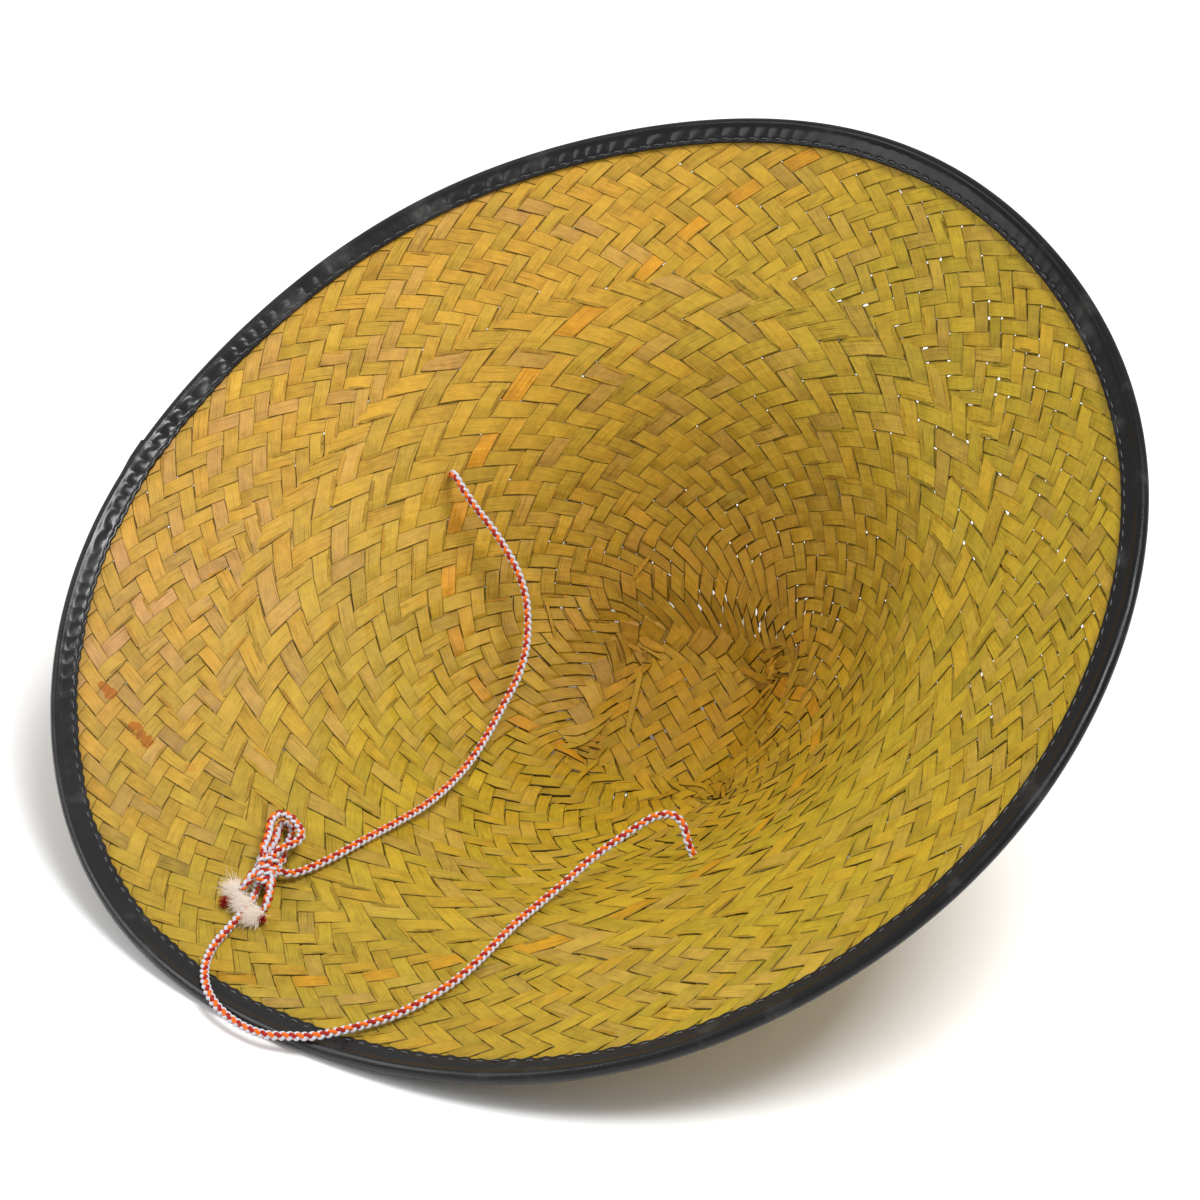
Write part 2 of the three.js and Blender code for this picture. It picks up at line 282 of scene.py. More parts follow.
def run_along(places):
    """Length run along a line of places, at each of them."""
    return np.concatenate([[0], np.cumsum(np.linalg.norm(np.diff(places, axis=0), axis=1))])


def form_line(steps=2000):
    """Profile of the hat's inside as radius and depth, from the middle of the crown to the edge."""
    last = len(FORM_STATIONS) - 1
    place = np.linspace(0, last, steps)
    index = np.minimum(place.astype(int), last - 1)
    share = (place - index)[:, None]
    before, here, after, beyond = (
        FORM_STATIONS[np.clip(index + step, 0, last)] for step in (-1, 0, 1, 2))
    leave = (after - before) / 2
    arrive = (beyond - here) / 2
    line = ((2 * here - 2 * after + leave + arrive) * share ** 3
            + (3 * after - 3 * here - 2 * leave - arrive) * share ** 2 + leave * share + here)
    middle = [0, FORM_STATIONS[-1][1]]
    return np.vstack([line, [middle]])[::-1]


LINE = form_line()
SLANT = run_along(LINE)


def laid(x, y, z):
    """Hat millimetres, crown down, to the laid hat in metres."""
    cos, sin = math.cos(HAT_TILT), math.sin(HAT_TILT)
    places = np.stack([x, y * cos - z * sin, y * sin + z * cos], axis=-1) * MM
    return places + RIM_CENTRE


def on_form(angle, radius, out=0, up=0):
    """Inside face of the straw, at an angle from the lowest rim point. out and up leave it in the plane
    through the hat's axis."""
    edge_slope = (LINE[-2][1] - LINE[-1][1]) / (LINE[-1][0] - LINE[-2][0])
    depth = np.interp(radius, LINE[:, 0], LINE[:, 1])
    depth = depth - np.maximum(radius - STRAW_EDGE, 0) * edge_slope
    waves = sum(size * np.cos(count * angle - math.radians(phase)) for count, size, phase in ROUND_WAVES)
    push = 0
    for degrees, dent_radius, width, deep in DENTS:
        apart = (radius ** 2 + dent_radius ** 2
                 - 2 * radius * dent_radius * np.cos(angle - math.radians(degrees)))
        push = push + deep * np.exp(-apart / width ** 2)
    turned = radius + out + waves * ease(radius, WAVES_BEGIN, RIM_RADIUS)
    height = up - depth - push * ease(radius, *DENTS_BEGIN)
    places = laid(turned * np.sin(angle), -turned * np.cos(angle), height)
    above = places[..., 2] / MM - STRAW_THICKNESS
    drop = np.clip(above, 0, None) * (1 - ease(above, SAG_HEIGHT, SAG_FADES_HEIGHT))
    places[..., 2] -= np.where(places[..., 1] > 0, drop, 0) * MM
    return places


def flat_place(angle, radius):
    """Place in the flat plan of the hat, in metres."""
    return np.stack([radius * np.sin(angle), -radius * np.cos(angle)], axis=-1) * MM


def ring_faces(rings, around, start=0, closed=False):
    """Faces that join rings of corners, each to the next one, and if closed the last to the first."""
    faces = []
    for ring in range(rings if closed else rings - 1):
        here = start + ring * around
        ahead = start + (ring + 1) % rings * around
        for index in range(around):
            beside = (index + 1) % around
            faces.append((here + index, here + beside, ahead + beside, ahead + index))
    return faces


def new_mesh(name, corners, edges, faces):
    mesh = bpy.data.meshes.new(name)
    mesh.from_pydata(corners.tolist(), edges, faces)
    return mesh


def make_form():
    """The guide form, with the flat plan of the hat stored on it."""
    radii = np.linspace(FORM_EDGE, 0, FORM_RINGS)[:-1]
    angles = np.linspace(0, 2 * math.pi, FORM_SECTORS, endpoint=False)
    angle, radius = np.meshgrid(angles, radii)
    corners = np.vstack([on_form(angle, radius).reshape(-1, 3), on_form(np.zeros(1), np.zeros(1))])
    flat = np.vstack([flat_place(angle, radius).reshape(-1, 2), [[0, 0]]])
    middle = len(corners) - 1
    innermost = middle - FORM_SECTORS
    faces = ring_faces(len(radii), FORM_SECTORS)
    for sector in range(FORM_SECTORS):
        beside = (sector + 1) % FORM_SECTORS
        faces.append((innermost + sector, innermost + beside, middle))
    mesh = new_mesh("form", corners, [], faces)
    mesh.shade_smooth()
    plan = mesh.uv_layers.new(name="flat")
    loops = np.empty(len(mesh.loops), dtype=np.int32)
    mesh.loops.foreach_get("vertex_index", loops)
    plan.data.foreach_set("uv", (flat[loops] / FLAT_SIZE + 0.5).ravel())
    return new_object("form", mesh)


form = make_form()


# Woven straw strips
# Two crossing families of palm-leaf strips run from the crown to the rim, over two and under two, so
# each ring of the weave shows one family. They start out four deep and fan apart where the rings grow
# too wide. They are laid out flat, and the node tree sweeps each into a thin ribbon on the form.
STRIP_THICKNESS = 0.3
WEAVE_HEIGHT = 0.34
FLOAT_SWELL = 0.07
FIRST_RADIUS = 33
STRIPS = 112
PAIRS = STRIPS // 2
FOURS = STRIPS // 4
ROWS = (
    # row of the weave, strips seen round the hat in each family, pitch of the rows from here on
    (0, FOURS, 3.6), (3, PAIRS, 3.2), (28, PAIRS, 3.6), (37, STRIPS, 3.2), (60, STRIPS, 3.2),
)
TWILL_ROWS = 4
TWILL_KNOTS = (
    # row within the four of the twill, side that the strip shows there: 1 for over, -1 for under
    (-0.34, 1), (0.5, 1), (1.34, 1), (1.66, -1), (2.5, -1), (3.34, -1),
)
LAST_ROW = 53.7
PAIRS_PART_ROW = 37.5
FOURS_PART_ROW = 3.5
PARTING_ROWS = 2.2
SHOWN_LEAD = 0.1
HIDDEN_LEAD = 2.1
MAT_CORNERS = ((-30, -5), (3, -30), (40, 12), (2, 45))
MAT_TURN = math.radians(147.02)
EDGE_STEPS = 720
EDGE_ROUNDINGS = 60
MAT_SHAPE_FADES = (29, 62)
TUCK_ROWS = 1.6
TUCK_DEPTH = 0.45
TUCK_FADES = (-0.9, -0.3)
OPEN_SIDE = {"angle": math.radians(132), "reach": (0.5, 1.1), "from": (95, 125), "to": (168, 180),
             "share": 0.055}
OPEN_CROWN = {"to": (55, 85), "share": 0.07}
STRIP_WIDTH = {"full": 1.01, "narrow_floats": 0.35, "narrow": 2.0, "other": 0.2, "uneven": 0.03}
STRIP_SHIFT = {"float": 0.05, "knot": 0.025, "wander": 0.06, "pace": (0.2, 0.45), "joined": 0.12}
STRIP_RELIEF = {"crown": 1.15, "less": 0.33, "fades": (8, 24), "uneven": 0.04}
STRIP_LEAN = {"brim": 0.08, "more": 0.12, "fades": (4, 20)}
# darkening of the strips: a random tone per float, and painted shade at the float ends
STRIP_TONE_AND_END_SHADE = {"float": 0.075, "ends": 0.1}
BEIGE_SHARE = 0.12
ORANGE_SHARE = 0.025
FOLD_COUNT = 1300
FOLD_STEPS = 5
FOLD_ROWS = (-0.3, 1.3)
FOLD_INNER = 0.66
FOLD_OUTER = 1.04
FOLD_RISE = np.array([-0.15, 0.16, 0.24, 0.16, -0.15])
PARTING_FOLDS = 0.6
SHARP_EDGE = math.radians(22)


def row_slant(row):
    """Length down the hat's side from the middle of the crown, in millimetres, at a row of the weave."""
    marks = [mark for mark, _, _ in ROWS]
    slants = [float(np.interp(FIRST_RADIUS, LINE[:, 0], SLANT))]
    for (mark, _, pitch), following in zip(ROWS, marks[1:]):
        slants.append(slants[-1] + (following - mark) * pitch)
    before = slants[0] + np.minimum(row, 0) * ROWS[0][2]
    return np.where(np.asarray(row) < 0, before, np.interp(row, marks, slants))


def row_turns(row):
    """Turns that a strip has gone round the hat at a row: half a strip's width in each row."""
    marks = [mark for mark, _, _ in ROWS]
    turns = [0.0]
    for (mark, seen, _), following in zip(ROWS, marks[1:]):
        turns.append(turns[-1] + (following - mark) / seen / 2)
    return np.where(np.asarray(row) < 0, np.asarray(row) / ROWS[0][1] / 2, np.interp(row, marks, turns))


def parted(row, parting, way):
    """Share by which a family has parted. Each family parts while it runs under the other one."""
    shown_before = 1 if round(parting - 1.5) % TWILL_ROWS == 0 else -1
    start = parting - (SHOWN_LEAD if way == shown_before else HIDDEN_LEAD)
    return ease(np.asarray(row, float), start, start + PARTING_ROWS)


def strips_seen(row, way):
    """Strips of a family seen round the hat at a row, growing where they fan apart."""
    return (FOURS + (PAIRS - FOURS) * parted(row, FOURS_PART_ROW, way)
            + (STRIPS - PAIRS) * parted(row, PAIRS_PART_ROW, way))


def strip_turn(strip, row, way):
    """Turns round the hat at which a strip stands: in fours by the crown, in pairs, then alone."""
    four, pair, alone = (strip // 4 + 0.5) / FOURS, (strip // 2 + 0.5) / PAIRS, (strip + 0.5) / STRIPS
    return (four + (pair - four) * parted(row, FOURS_PART_ROW, way)
            + (alone - pair) * parted(row, PAIRS_PART_ROW, way))


def mat_edge(angle):
    """Radius of the mat's edge, a bent diamond, at an angle of the hat."""
    disc = MAT_TURN - angle
    direction = np.stack([np.cos(disc), np.sin(disc)], axis=-1)
    nearest = np.full(np.shape(disc), math.inf)
    for start, end in zip(MAT_CORNERS, MAT_CORNERS[1:] + MAT_CORNERS[:1]):
        start, side = np.array(start, float), np.array(end, float) - np.array(start, float)
        across = np.array([side[1], -side[0]])
        reach = direction @ across
        with np.errstate(divide="ignore"):
            distance = (start @ across) / reach
        nearest = np.where((distance > 0) & (distance < nearest), distance, nearest)
    return nearest


def rounded(radii, times):
    """Radii at even angles of a closed edge, each drawn a number of times towards its neighbours."""
    once = radii[:-1]
    for _ in range(times):
        once = (once + np.roll(once, 1) + np.roll(once, -1)) / 3
    return np.append(once, once[0])


EDGE_ANGLES = np.linspace(0, 2 * math.pi, EDGE_STEPS + 1)
EDGE_RADII = rounded(mat_edge(EDGE_ANGLES), EDGE_ROUNDINGS)
EDGE_PLACES = EDGE_RADII[:, None] * np.stack([np.sin(EDGE_ANGLES), -np.cos(EDGE_ANGLES)], axis=-1)
EDGE_RUN = run_along(EDGE_PLACES) / run_along(EDGE_PLACES)[-1]


def weave_place(turn, row):
    """Flat place in metres of a point of the weave: turns round the hat, and the row from the mat."""
    radius = np.interp(row_slant(row), SLANT, LINE[:, 0])
    whole = np.floor(turn)
    spread = np.interp(turn - whole, EDGE_RUN, EDGE_ANGLES) + whole * 2 * math.pi
    round_share = ease(radius, *MAT_SHAPE_FADES)
    angle = turn * 2 * math.pi * round_share + spread * (1 - round_share)
    edge = np.interp(angle % (2 * math.pi), EDGE_ANGLES, EDGE_RADII)
    radius = radius * (edge / FIRST_RADIUS * (1 - round_share) + round_share)
    return flat_place(angle, radius)


class Strips:
    """Flat strips, gathered as points with their half width, height and shade."""

    def __init__(self):
        names = ("place", "across", "lift", "lean", "along", "shade", "dark")
        self.points = {name: [] for name in names}
        self.edges = []

    def add(self, place, across, lift, lean, shade, dark):
        start = sum(len(part) for part in self.points["place"])
        count = len(place)
        values = {"place": place, "across": across, "lift": lift, "lean": lean,
                  "along": run_along(place) / MM, "shade": np.full(count, shade), "dark": dark}
        for name, value in values.items():
            self.points[name].append(np.asarray(value, float))
        self.edges += [(start + i, start + i + 1) for i in range(count - 1)]

    def to_object(self, name):
        place, across = (np.vstack(self.points[label]) for label in ("place", "across"))
        level = np.zeros(len(place))
        mesh = new_mesh(name, np.column_stack([place, level]), self.edges, [])
        vector = mesh.attributes.new("across", "FLOAT_VECTOR", "POINT")
        vector.data.foreach_set("vector", np.column_stack([across, level]).ravel())
        for label in ("lift", "lean", "along", "shade", "dark"):
            values = mesh.attributes.new(label, "FLOAT", "POINT")
            values.data.foreach_set("value", np.concatenate(self.points[label]))
        return new_object(name, mesh)


def float_knots(first, last):
    """Rows where a strip is drawn, the side it shows there, its float, and whether it is the middle."""
    knots = []
    for group in range(int(first // TWILL_ROWS) - 1, int(last // TWILL_ROWS) + 2):
        for index, (step, side) in enumerate(TWILL_KNOTS):
            row = group * TWILL_ROWS + step
            if first < row < last:
                knots.append((row, side, group * 2 + index // 3, index % 3 == 1))
    return knots


def drawn_rows(knots, first, last):
    """Rows of a strip's knots and its two ends, the sides there, and whether each is a float's middle."""
    rows = np.array([first] + [knot[0] for knot in knots] + [last], float)
    sides = np.array([0] + [knot[1] for knot in knots] + [0], float)
    middles = np.array([False] + [knot[3] for knot in knots] + [False])
    return rows, sides, middles


def weave_band(turn, way, rows, left, right):
    """Middle and half width of a band of a strip, with its edges given in half strip widths."""
    seen = strips_seen(rows, way)
    edges = [weave_place(turn + edge / 4 / seen, rows - way * edge / 2) for edge in (left, right)]
    return (edges[0] + edges[1]) / 2, (edges[0] - edges[1]) / 2


def openness(turn, row):
    """Share by which the strips are too narrow to close the weave: in the crown and on one side."""
    radius = np.interp(row_slant(row), SLANT, LINE[:, 0])
    aside = np.abs((turn * 2 * math.pi - OPEN_SIDE["angle"] + math.pi) % (2 * math.pi) - math.pi)
    on_side = (1 - ease(aside, *OPEN_SIDE["reach"])) * ease(radius, *OPEN_SIDE["from"])
    on_side = on_side * (1 - ease(radius, *OPEN_SIDE["to"]))
    return OPEN_SIDE["share"] * on_side + OPEN_CROWN["share"] * (1 - ease(radius, *OPEN_CROWN["to"]))


def parting_row(strip):
    """Row at which a strip parts from the one beside it. Every fourth one shows from the crown on."""
    if strip % 4 == 0:
        return -math.inf
    return FOURS_PART_ROW if strip % 2 == 0 else PAIRS_PART_ROW


def ring_strip(strips, strip, way, first, shade):
    """One strip of the side, from its first row to the rim, hidden in its neighbour until it parts."""
    knots = float_knots(first + 0.3, LAST_ROW - 0.2)
    rows, sides, middles = drawn_rows(knots, first, LAST_ROW)
    floats = np.array([knots[0][2]] + [knot[2] for knot in knots] + [knots[-1][2]])
    floats = floats - floats.min()
    count = floats.max() + 1
    jitter = {name: chance.normal(size=count)[floats] for name in ("lean", "width", "shift", "dark")}
    knot_jitter = {name: chance.normal(size=len(rows)) for name in ("width", "shift", "swell")}
    turn = strip_turn(strip, rows, way) + way * row_turns(rows)
    narrow = chance.uniform(size=count)[floats] < STRIP_WIDTH["narrow_floats"]
    spared = np.where(narrow, STRIP_WIDTH["narrow"], STRIP_WIDTH["other"])
    width = STRIP_WIDTH["full"] - openness(turn, rows) * spared
    width = width + STRIP_WIDTH["uneven"] * (jitter["width"] + knot_jitter["width"])
    pace = chance.uniform(*STRIP_SHIFT["pace"])
    wander = STRIP_SHIFT["wander"] * np.sin(rows * pace + chance.uniform(0, 6))
    shift = STRIP_SHIFT["float"] * jitter["shift"] + STRIP_SHIFT["knot"] * knot_jitter["shift"] + wander
    parting = parting_row(strip)
    float_rows = np.floor((rows + 0.5) / 2) * 2 + 0.5
    joined = (float_rows < parting).astype(float)
    shift = shift + STRIP_SHIFT["joined"] * joined * (1 if strip % 3 else -1)
    relief = STRIP_RELIEF["crown"] - STRIP_RELIEF["less"] * ease(rows, *STRIP_RELIEF["fades"])
    swell = middles * (FLOAT_SWELL + STRIP_RELIEF["uneven"] * knot_jitter["swell"])
    lift = way * sides * (WEAVE_HEIGHT * relief + swell) * (1 - joined)
    lean = STRIP_LEAN["brim"] + STRIP_LEAN["more"] * (1 - ease(rows, *STRIP_LEAN["fades"]))
    lean = lean * jitter["lean"] * np.abs(sides) * (1 - joined)
    if parting < 0:
        tucked = 1 - ease(rows, *TUCK_FADES)
        lift = lift * (1 - tucked) - TUCK_DEPTH * tucked
    centre, across = weave_band(turn, way, rows, width + shift, shift - width)
    # darker at random per float, plus painted shade towards the float ends, where the strip dives under
    dark = STRIP_TONE_AND_END_SHADE["float"] * jitter["dark"] + STRIP_TONE_AND_END_SHADE["ends"] * (~middles)
    strips.add(centre, across, lift * MM, lean * MM, shade, dark)


def strip_shade():
    """Shade of a strip: most are golden, a few beige or bright orange."""
    kind = chance.uniform()
    if kind < BEIGE_SHARE:
        return chance.uniform(0.0, 0.15)
    if kind > 1 - ORANGE_SHARE:
        return chance.uniform(0.9, 1.0)
    return float(np.clip(0.48 + 0.16 * chance.normal(), 0.15, 0.8))


def fold_line(strips, strip, way, row, side, edge):
    """A narrow folded edge that stands on one float of a strip."""
    rows = row + np.linspace(*FOLD_ROWS, FOLD_STEPS)
    turn = strip_turn(strip, rows, way) + way * row_turns(rows)
    inner = FOLD_INNER + 0.06 * chance.normal()
    inner = edge * (inner + 0.16 * np.linspace(-1, 1, FOLD_STEPS) * chance.uniform(-1, 1))
    outer = edge * (FOLD_OUTER + 0.02 * chance.normal(size=FOLD_STEPS))
    centre, across = weave_band(turn, way, rows, np.maximum(inner, outer), np.minimum(inner, outer))
    lift = way * side * (WEAVE_HEIGHT + FOLD_RISE)
    shade = chance.uniform(0.3, 0.9)
    dark = chance.uniform(0.0, 0.42)
    strips.add(centre, across, lift * MM, np.zeros(FOLD_STEPS), shade, np.full(FOLD_STEPS, dark))


def folded_strip(row):
    """A random strip that shows at a row, where they lie in fours, in pairs or alone."""
    if row >= PAIRS_PART_ROW - 2:
        return int(chance.integers(STRIPS))
    strip = int(chance.integers(FOURS)) * 4
    if row > FOURS_PART_ROW:
        strip += 2 * int(chance.integers(2))
    return strip


def stored_value(tree, name, kind="FLOAT"):
    """What is stored on the points under a name."""
    inputs = {"Name": name}
    return add_node(tree, "GeometryNodeInputNamedAttribute", inputs, data_type=kind).outputs[0]


def node_sums(tree):
    """Short forms for the sums of numbers and of vectors in a node tree."""
    def number(operation, a, b=0.0, clamp=False):
        node = add_node(tree, "ShaderNodeMath", {0: a, 1: b}, operation=operation, use_clamp=clamp)
        return node.outputs[0]

    def vector(operation, a, b=(0, 0, 0), scale=1.0):
        inputs = {0: a, "Scale": scale} if operation == "SCALE" else {0: a, 1: b}
        node = add_node(tree, "ShaderNodeVectorMath", inputs, operation=operation)
        return node.outputs["Value" if operation in ("DOT_PRODUCT", "DISTANCE") else "Vector"]

    return number, vector


def new_group(name, inputs, output):
    """An empty node group with its sockets, and the values that it is given."""
    tree = bpy.data.node_groups.new(name, "GeometryNodeTree")
    for label, kind in inputs.items():
        tree.interface.new_socket(label, in_out="INPUT", socket_type="NodeSocket" + kind)
    tree.interface.new_socket(output, in_out="OUTPUT", socket_type="NodeSocketGeometry")
    return tree, add_node(tree, "NodeGroupInput").outputs


def finish_group(tree, geometry, finish, output):
    """Gives the geometry of a node group its finish and makes it the result."""
    whole = add_node(tree, "GeometryNodeRealizeInstances", {"Geometry": geometry}).outputs[0]
    finished = add_node(tree, "GeometryNodeSetMaterial", {"Geometry": whole, "Material": finish})
    add_node(tree, "NodeGroupOutput", {output: finished.outputs[0]})
    return tree


def ribbon_tree():
    """Sweeps flat strips into ribbons and lays them on the form, at the heights stored on them."""
    tree, given = new_group("lay_strips_on_form", {
        "Strips": "Geometry", "Form": "Object", "Flat Size": "Float", "Thickness": "Float",
        "Depth": "Float", "Finish": "Material"}, "Ribbons")
    number, vector = node_sums(tree)

    def stored(name, kind="FLOAT"):
        return stored_value(tree, name, kind)

    def store(geometry, name, value, kind="FLOAT"):
        return add_node(tree, "GeometryNodeStoreNamedAttribute",
                        {"Geometry": geometry, "Name": name, "Value": value}, data_type=kind).outputs[0]

    position = add_node(tree, "GeometryNodeInputPosition").outputs[0]
    lines = add_node(tree, "GeometryNodeMeshToCurve",
                     {"Mesh": store(given["Strips"], "centre", position, "FLOAT_VECTOR")}).outputs[0]
    circle = add_node(tree, "GeometryNodeCurvePrimitiveCircle",
                      {"Resolution": 8, "Radius": 1.0}).outputs[0]
    corner = add_node(tree, "ShaderNodeSeparateXYZ", {0: position}).outputs
    flattened = add_node(tree, "ShaderNodeCombineXYZ", {
        index: number("MINIMUM", number("MAXIMUM", number("MULTIPLY", corner[index], stretch), -1), 1)
        for index, stretch in enumerate((1.3, 1.6))}).outputs[0]
    section = store(circle, "section", flattened, "FLOAT_VECTOR")
    swept = add_node(tree, "GeometryNodeCurveToMesh",
                     {"Curve": lines, "Profile Curve": section, "Fill Caps": True}).outputs[0]
    place = add_node(tree, "ShaderNodeSeparateXYZ", {0: stored("section", "FLOAT_VECTOR")}).outputs
    flat = vector("ADD", stored("centre", "FLOAT_VECTOR"),
                  vector("SCALE", stored("across", "FLOAT_VECTOR"), scale=place[0]))
    height = number("ADD", number("ADD", stored("lift"), number("MULTIPLY", stored("lean"), place[0])),
                    number("MULTIPLY", number("MULTIPLY", place[1], given["Thickness"]), 0.5))
    height = number("SUBTRACT", height, given["Depth"])
    guide = add_node(tree, "GeometryNodeObjectInfo", {"Object": given["Form"]}).outputs["Geometry"]
    shrunk = vector("SCALE", flat, scale=number("DIVIDE", 1.0, given["Flat Size"]))
    plan = vector("ADD", shrunk, (0.5, 0.5, 0))

    def on_guide(value):
        node = add_node(tree, "GeometryNodeSampleUVSurface",
                        {"Mesh": guide, "Value": value, "Source UV Map": stored("flat", "FLOAT_VECTOR"),
                         "Sample UV": plan}, data_type="FLOAT_VECTOR")
        return node.outputs["Value"]

    normal = add_node(tree, "GeometryNodeInputNormal").outputs[0]
    laid_place = vector("ADD", on_guide(position), vector("SCALE", on_guide(normal), scale=height))
    placed = add_node(tree, "GeometryNodeSetPosition",
                      {"Geometry": swept, "Position": laid_place}).outputs[0]
    sided = store(placed, "side", place[0])
    return finish_group(tree, sided, given["Finish"], "Ribbons")


def grown_piece(source, tree, settings):
    """The plain mesh that a node tree makes of an object, under the object's name."""
    modifier = source.modifiers.new("grow", "NODES")
    modifier.node_group = tree
    for item in tree.interface.items_tree:
        if item.in_out == "INPUT" and item.name in settings:
            modifier[item.identifier] = settings[item.name]
    bpy.context.view_layer.update()
    evaluated = source.evaluated_get(bpy.context.evaluated_depsgraph_get())
    mesh = bpy.data.meshes.new_from_object(evaluated)
    name = source.name
    source.modifiers.remove(modifier)
    bpy.data.objects.remove(source)
    mesh.name = name
    return new_object(name, mesh)


STRAW_SHADES = (
    # place on the ramp, colour
    (0.0, (0.375, 0.235, 0.026)), (0.15, (0.365, 0.245, 0.019)), (0.3, (0.35, 0.245, 0.012)),
    (0.5, (0.38, 0.25, 0.013)), (0.8, (0.405, 0.242, 0.012)), (1.0, (0.46, 0.235, 0.008)),
)
SIDE_TINTS = (
    # direction of the tint over the hat, places where it begins and ends, colour at the end:
    # orange on the left, olive on the right, pale low down
    ((-1.0, 0.1, 0.4), 0.05, 0.16, (1.2, 1.02, 1.9)),
    ((0.75, 0.6, 0.0), 0.04, 0.18, (0.92, 0.9, 0.8)),
    ((-0.3, -1.0, 0.0), 0.02, 0.12, (0.91, 0.9, 1.55)),
)
# the crown's hollow painted darker and deeper amber: partly the straw's colour, partly painted shade
CROWN_TINT_AND_SHADE = {"middle": (0.0, 0.062, 0.04), "size": 0.11, "colour": (0.76, 0.58, 0.22)}
STAINS = (
    # place on the brim, size, strength
    ((-0.1377, -0.0836, 0.0398), 0.0024, 0.85), ((-0.1349, -0.0842, 0.0386), 0.0028, 0.85),
    ((-0.1205, -0.0885, 0.0322), 0.0024, 0.85), ((-0.1171, -0.0886, 0.0310), 0.0025, 0.85),
    ((-0.1137, -0.0887, 0.0298), 0.0027, 0.85), ((-0.0962, -0.0865, 0.0251), 0.0022, 0.3),
)
STAIN_COLOUR = (0.31, 0.088, 0.003, 1)
MOTTLE_SCALE = 330.0
# lightness of the straw: a base, fibres and mottle, painted shade at the strips' edges (rim), and cracks
STRAW_LIGHT = {"least": 0.46, "fibres": 0.75, "mottle": 0.44, "rim": -0.68, "crack": -0.35}
STRAW_RELIEF = {"wrinkles": 2.4, "strength": 0.55, "height": 0.0003}
straw_finish, straw_tree, straw_shader = new_material("palm_leaf_straw", 0.5, Specular_IOR_Level=0.22)


def ranged(tree, value, start, end, low=0.0, high=1.0):
    """A value carried from one range to another, and held at its ends."""
    inputs = {"Value": value, 1: start, 2: end, 3: low, 4: high}
    return add_node(tree, "ShaderNodeMapRange", inputs).outputs[0]


def noise_at(tree, place, scale, detail, roughness=0.5):
    """Random values from 0 to 1 that change smoothly with the place."""
    inputs = {"Vector": place, "Scale": scale, "Detail": detail, "Roughness": roughness}
    return add_node(tree, "ShaderNodeTexNoise", inputs).outputs["Fac"]


def blend(tree, factor, first, second):
    """The first colour at a factor of 0, the second one at 1."""
    inputs = {"Factor": factor, 6: first, 7: second}
    return add_node(tree, "ShaderNodeMix", inputs, data_type="RGBA").outputs[2]


def ramped(tree, tone):
    """The colour of straw at a tone from 0 to 1."""
    ramp = add_node(tree, "ShaderNodeValToRGB", {"Fac": tone})
    stops = ramp.color_ramp.elements
    for index, (stop, colour) in enumerate(STRAW_SHADES):
        element = stops[index] if index < 2 else stops.new(stop)
        element.position = stop
        element.color = (*colour, 1)
    return ramp.outputs["Color"]


def tinted(tree, colour, place):
    """The colour with the tints of the hat's sides, and the crown darker and deeper amber, partly as painted shade."""
    _, vector = node_sums(tree)
    for axis, start, end, tint in SIDE_TINTS:
        share = ranged(tree, vector("DOT_PRODUCT", place, axis), start, end)
        colour = blend(tree, share, colour, vector("MULTIPLY", colour, tint))
    # painted shade, in part: the crown darkened and deepened to amber
    apart = vector("DISTANCE", place, CROWN_TINT_AND_SHADE["middle"])
    share = ranged(tree, apart, CROWN_TINT_AND_SHADE["size"], CROWN_TINT_AND_SHADE["size"] * 0.3)
    return blend(tree, share, colour, vector("MULTIPLY", colour, CROWN_TINT_AND_SHADE["colour"]))


def stained(tree, colour, place, mottle):
    """The colour with the brown stains, ragged at their edges."""
    number, vector = node_sums(tree)
    for middle, size, strength in STAINS:
        ragged = number("MULTIPLY", number("ADD", number("MULTIPLY", mottle, 2.6), -0.5), size)
        apart = number("SUBTRACT", vector("DISTANCE", place, middle), ragged)
        share = ranged(tree, apart, size * 0.12, -size * 0.06)
        colour = blend(tree, number("MULTIPLY", share, strength), colour, STAIN_COLOUR)
    return colour


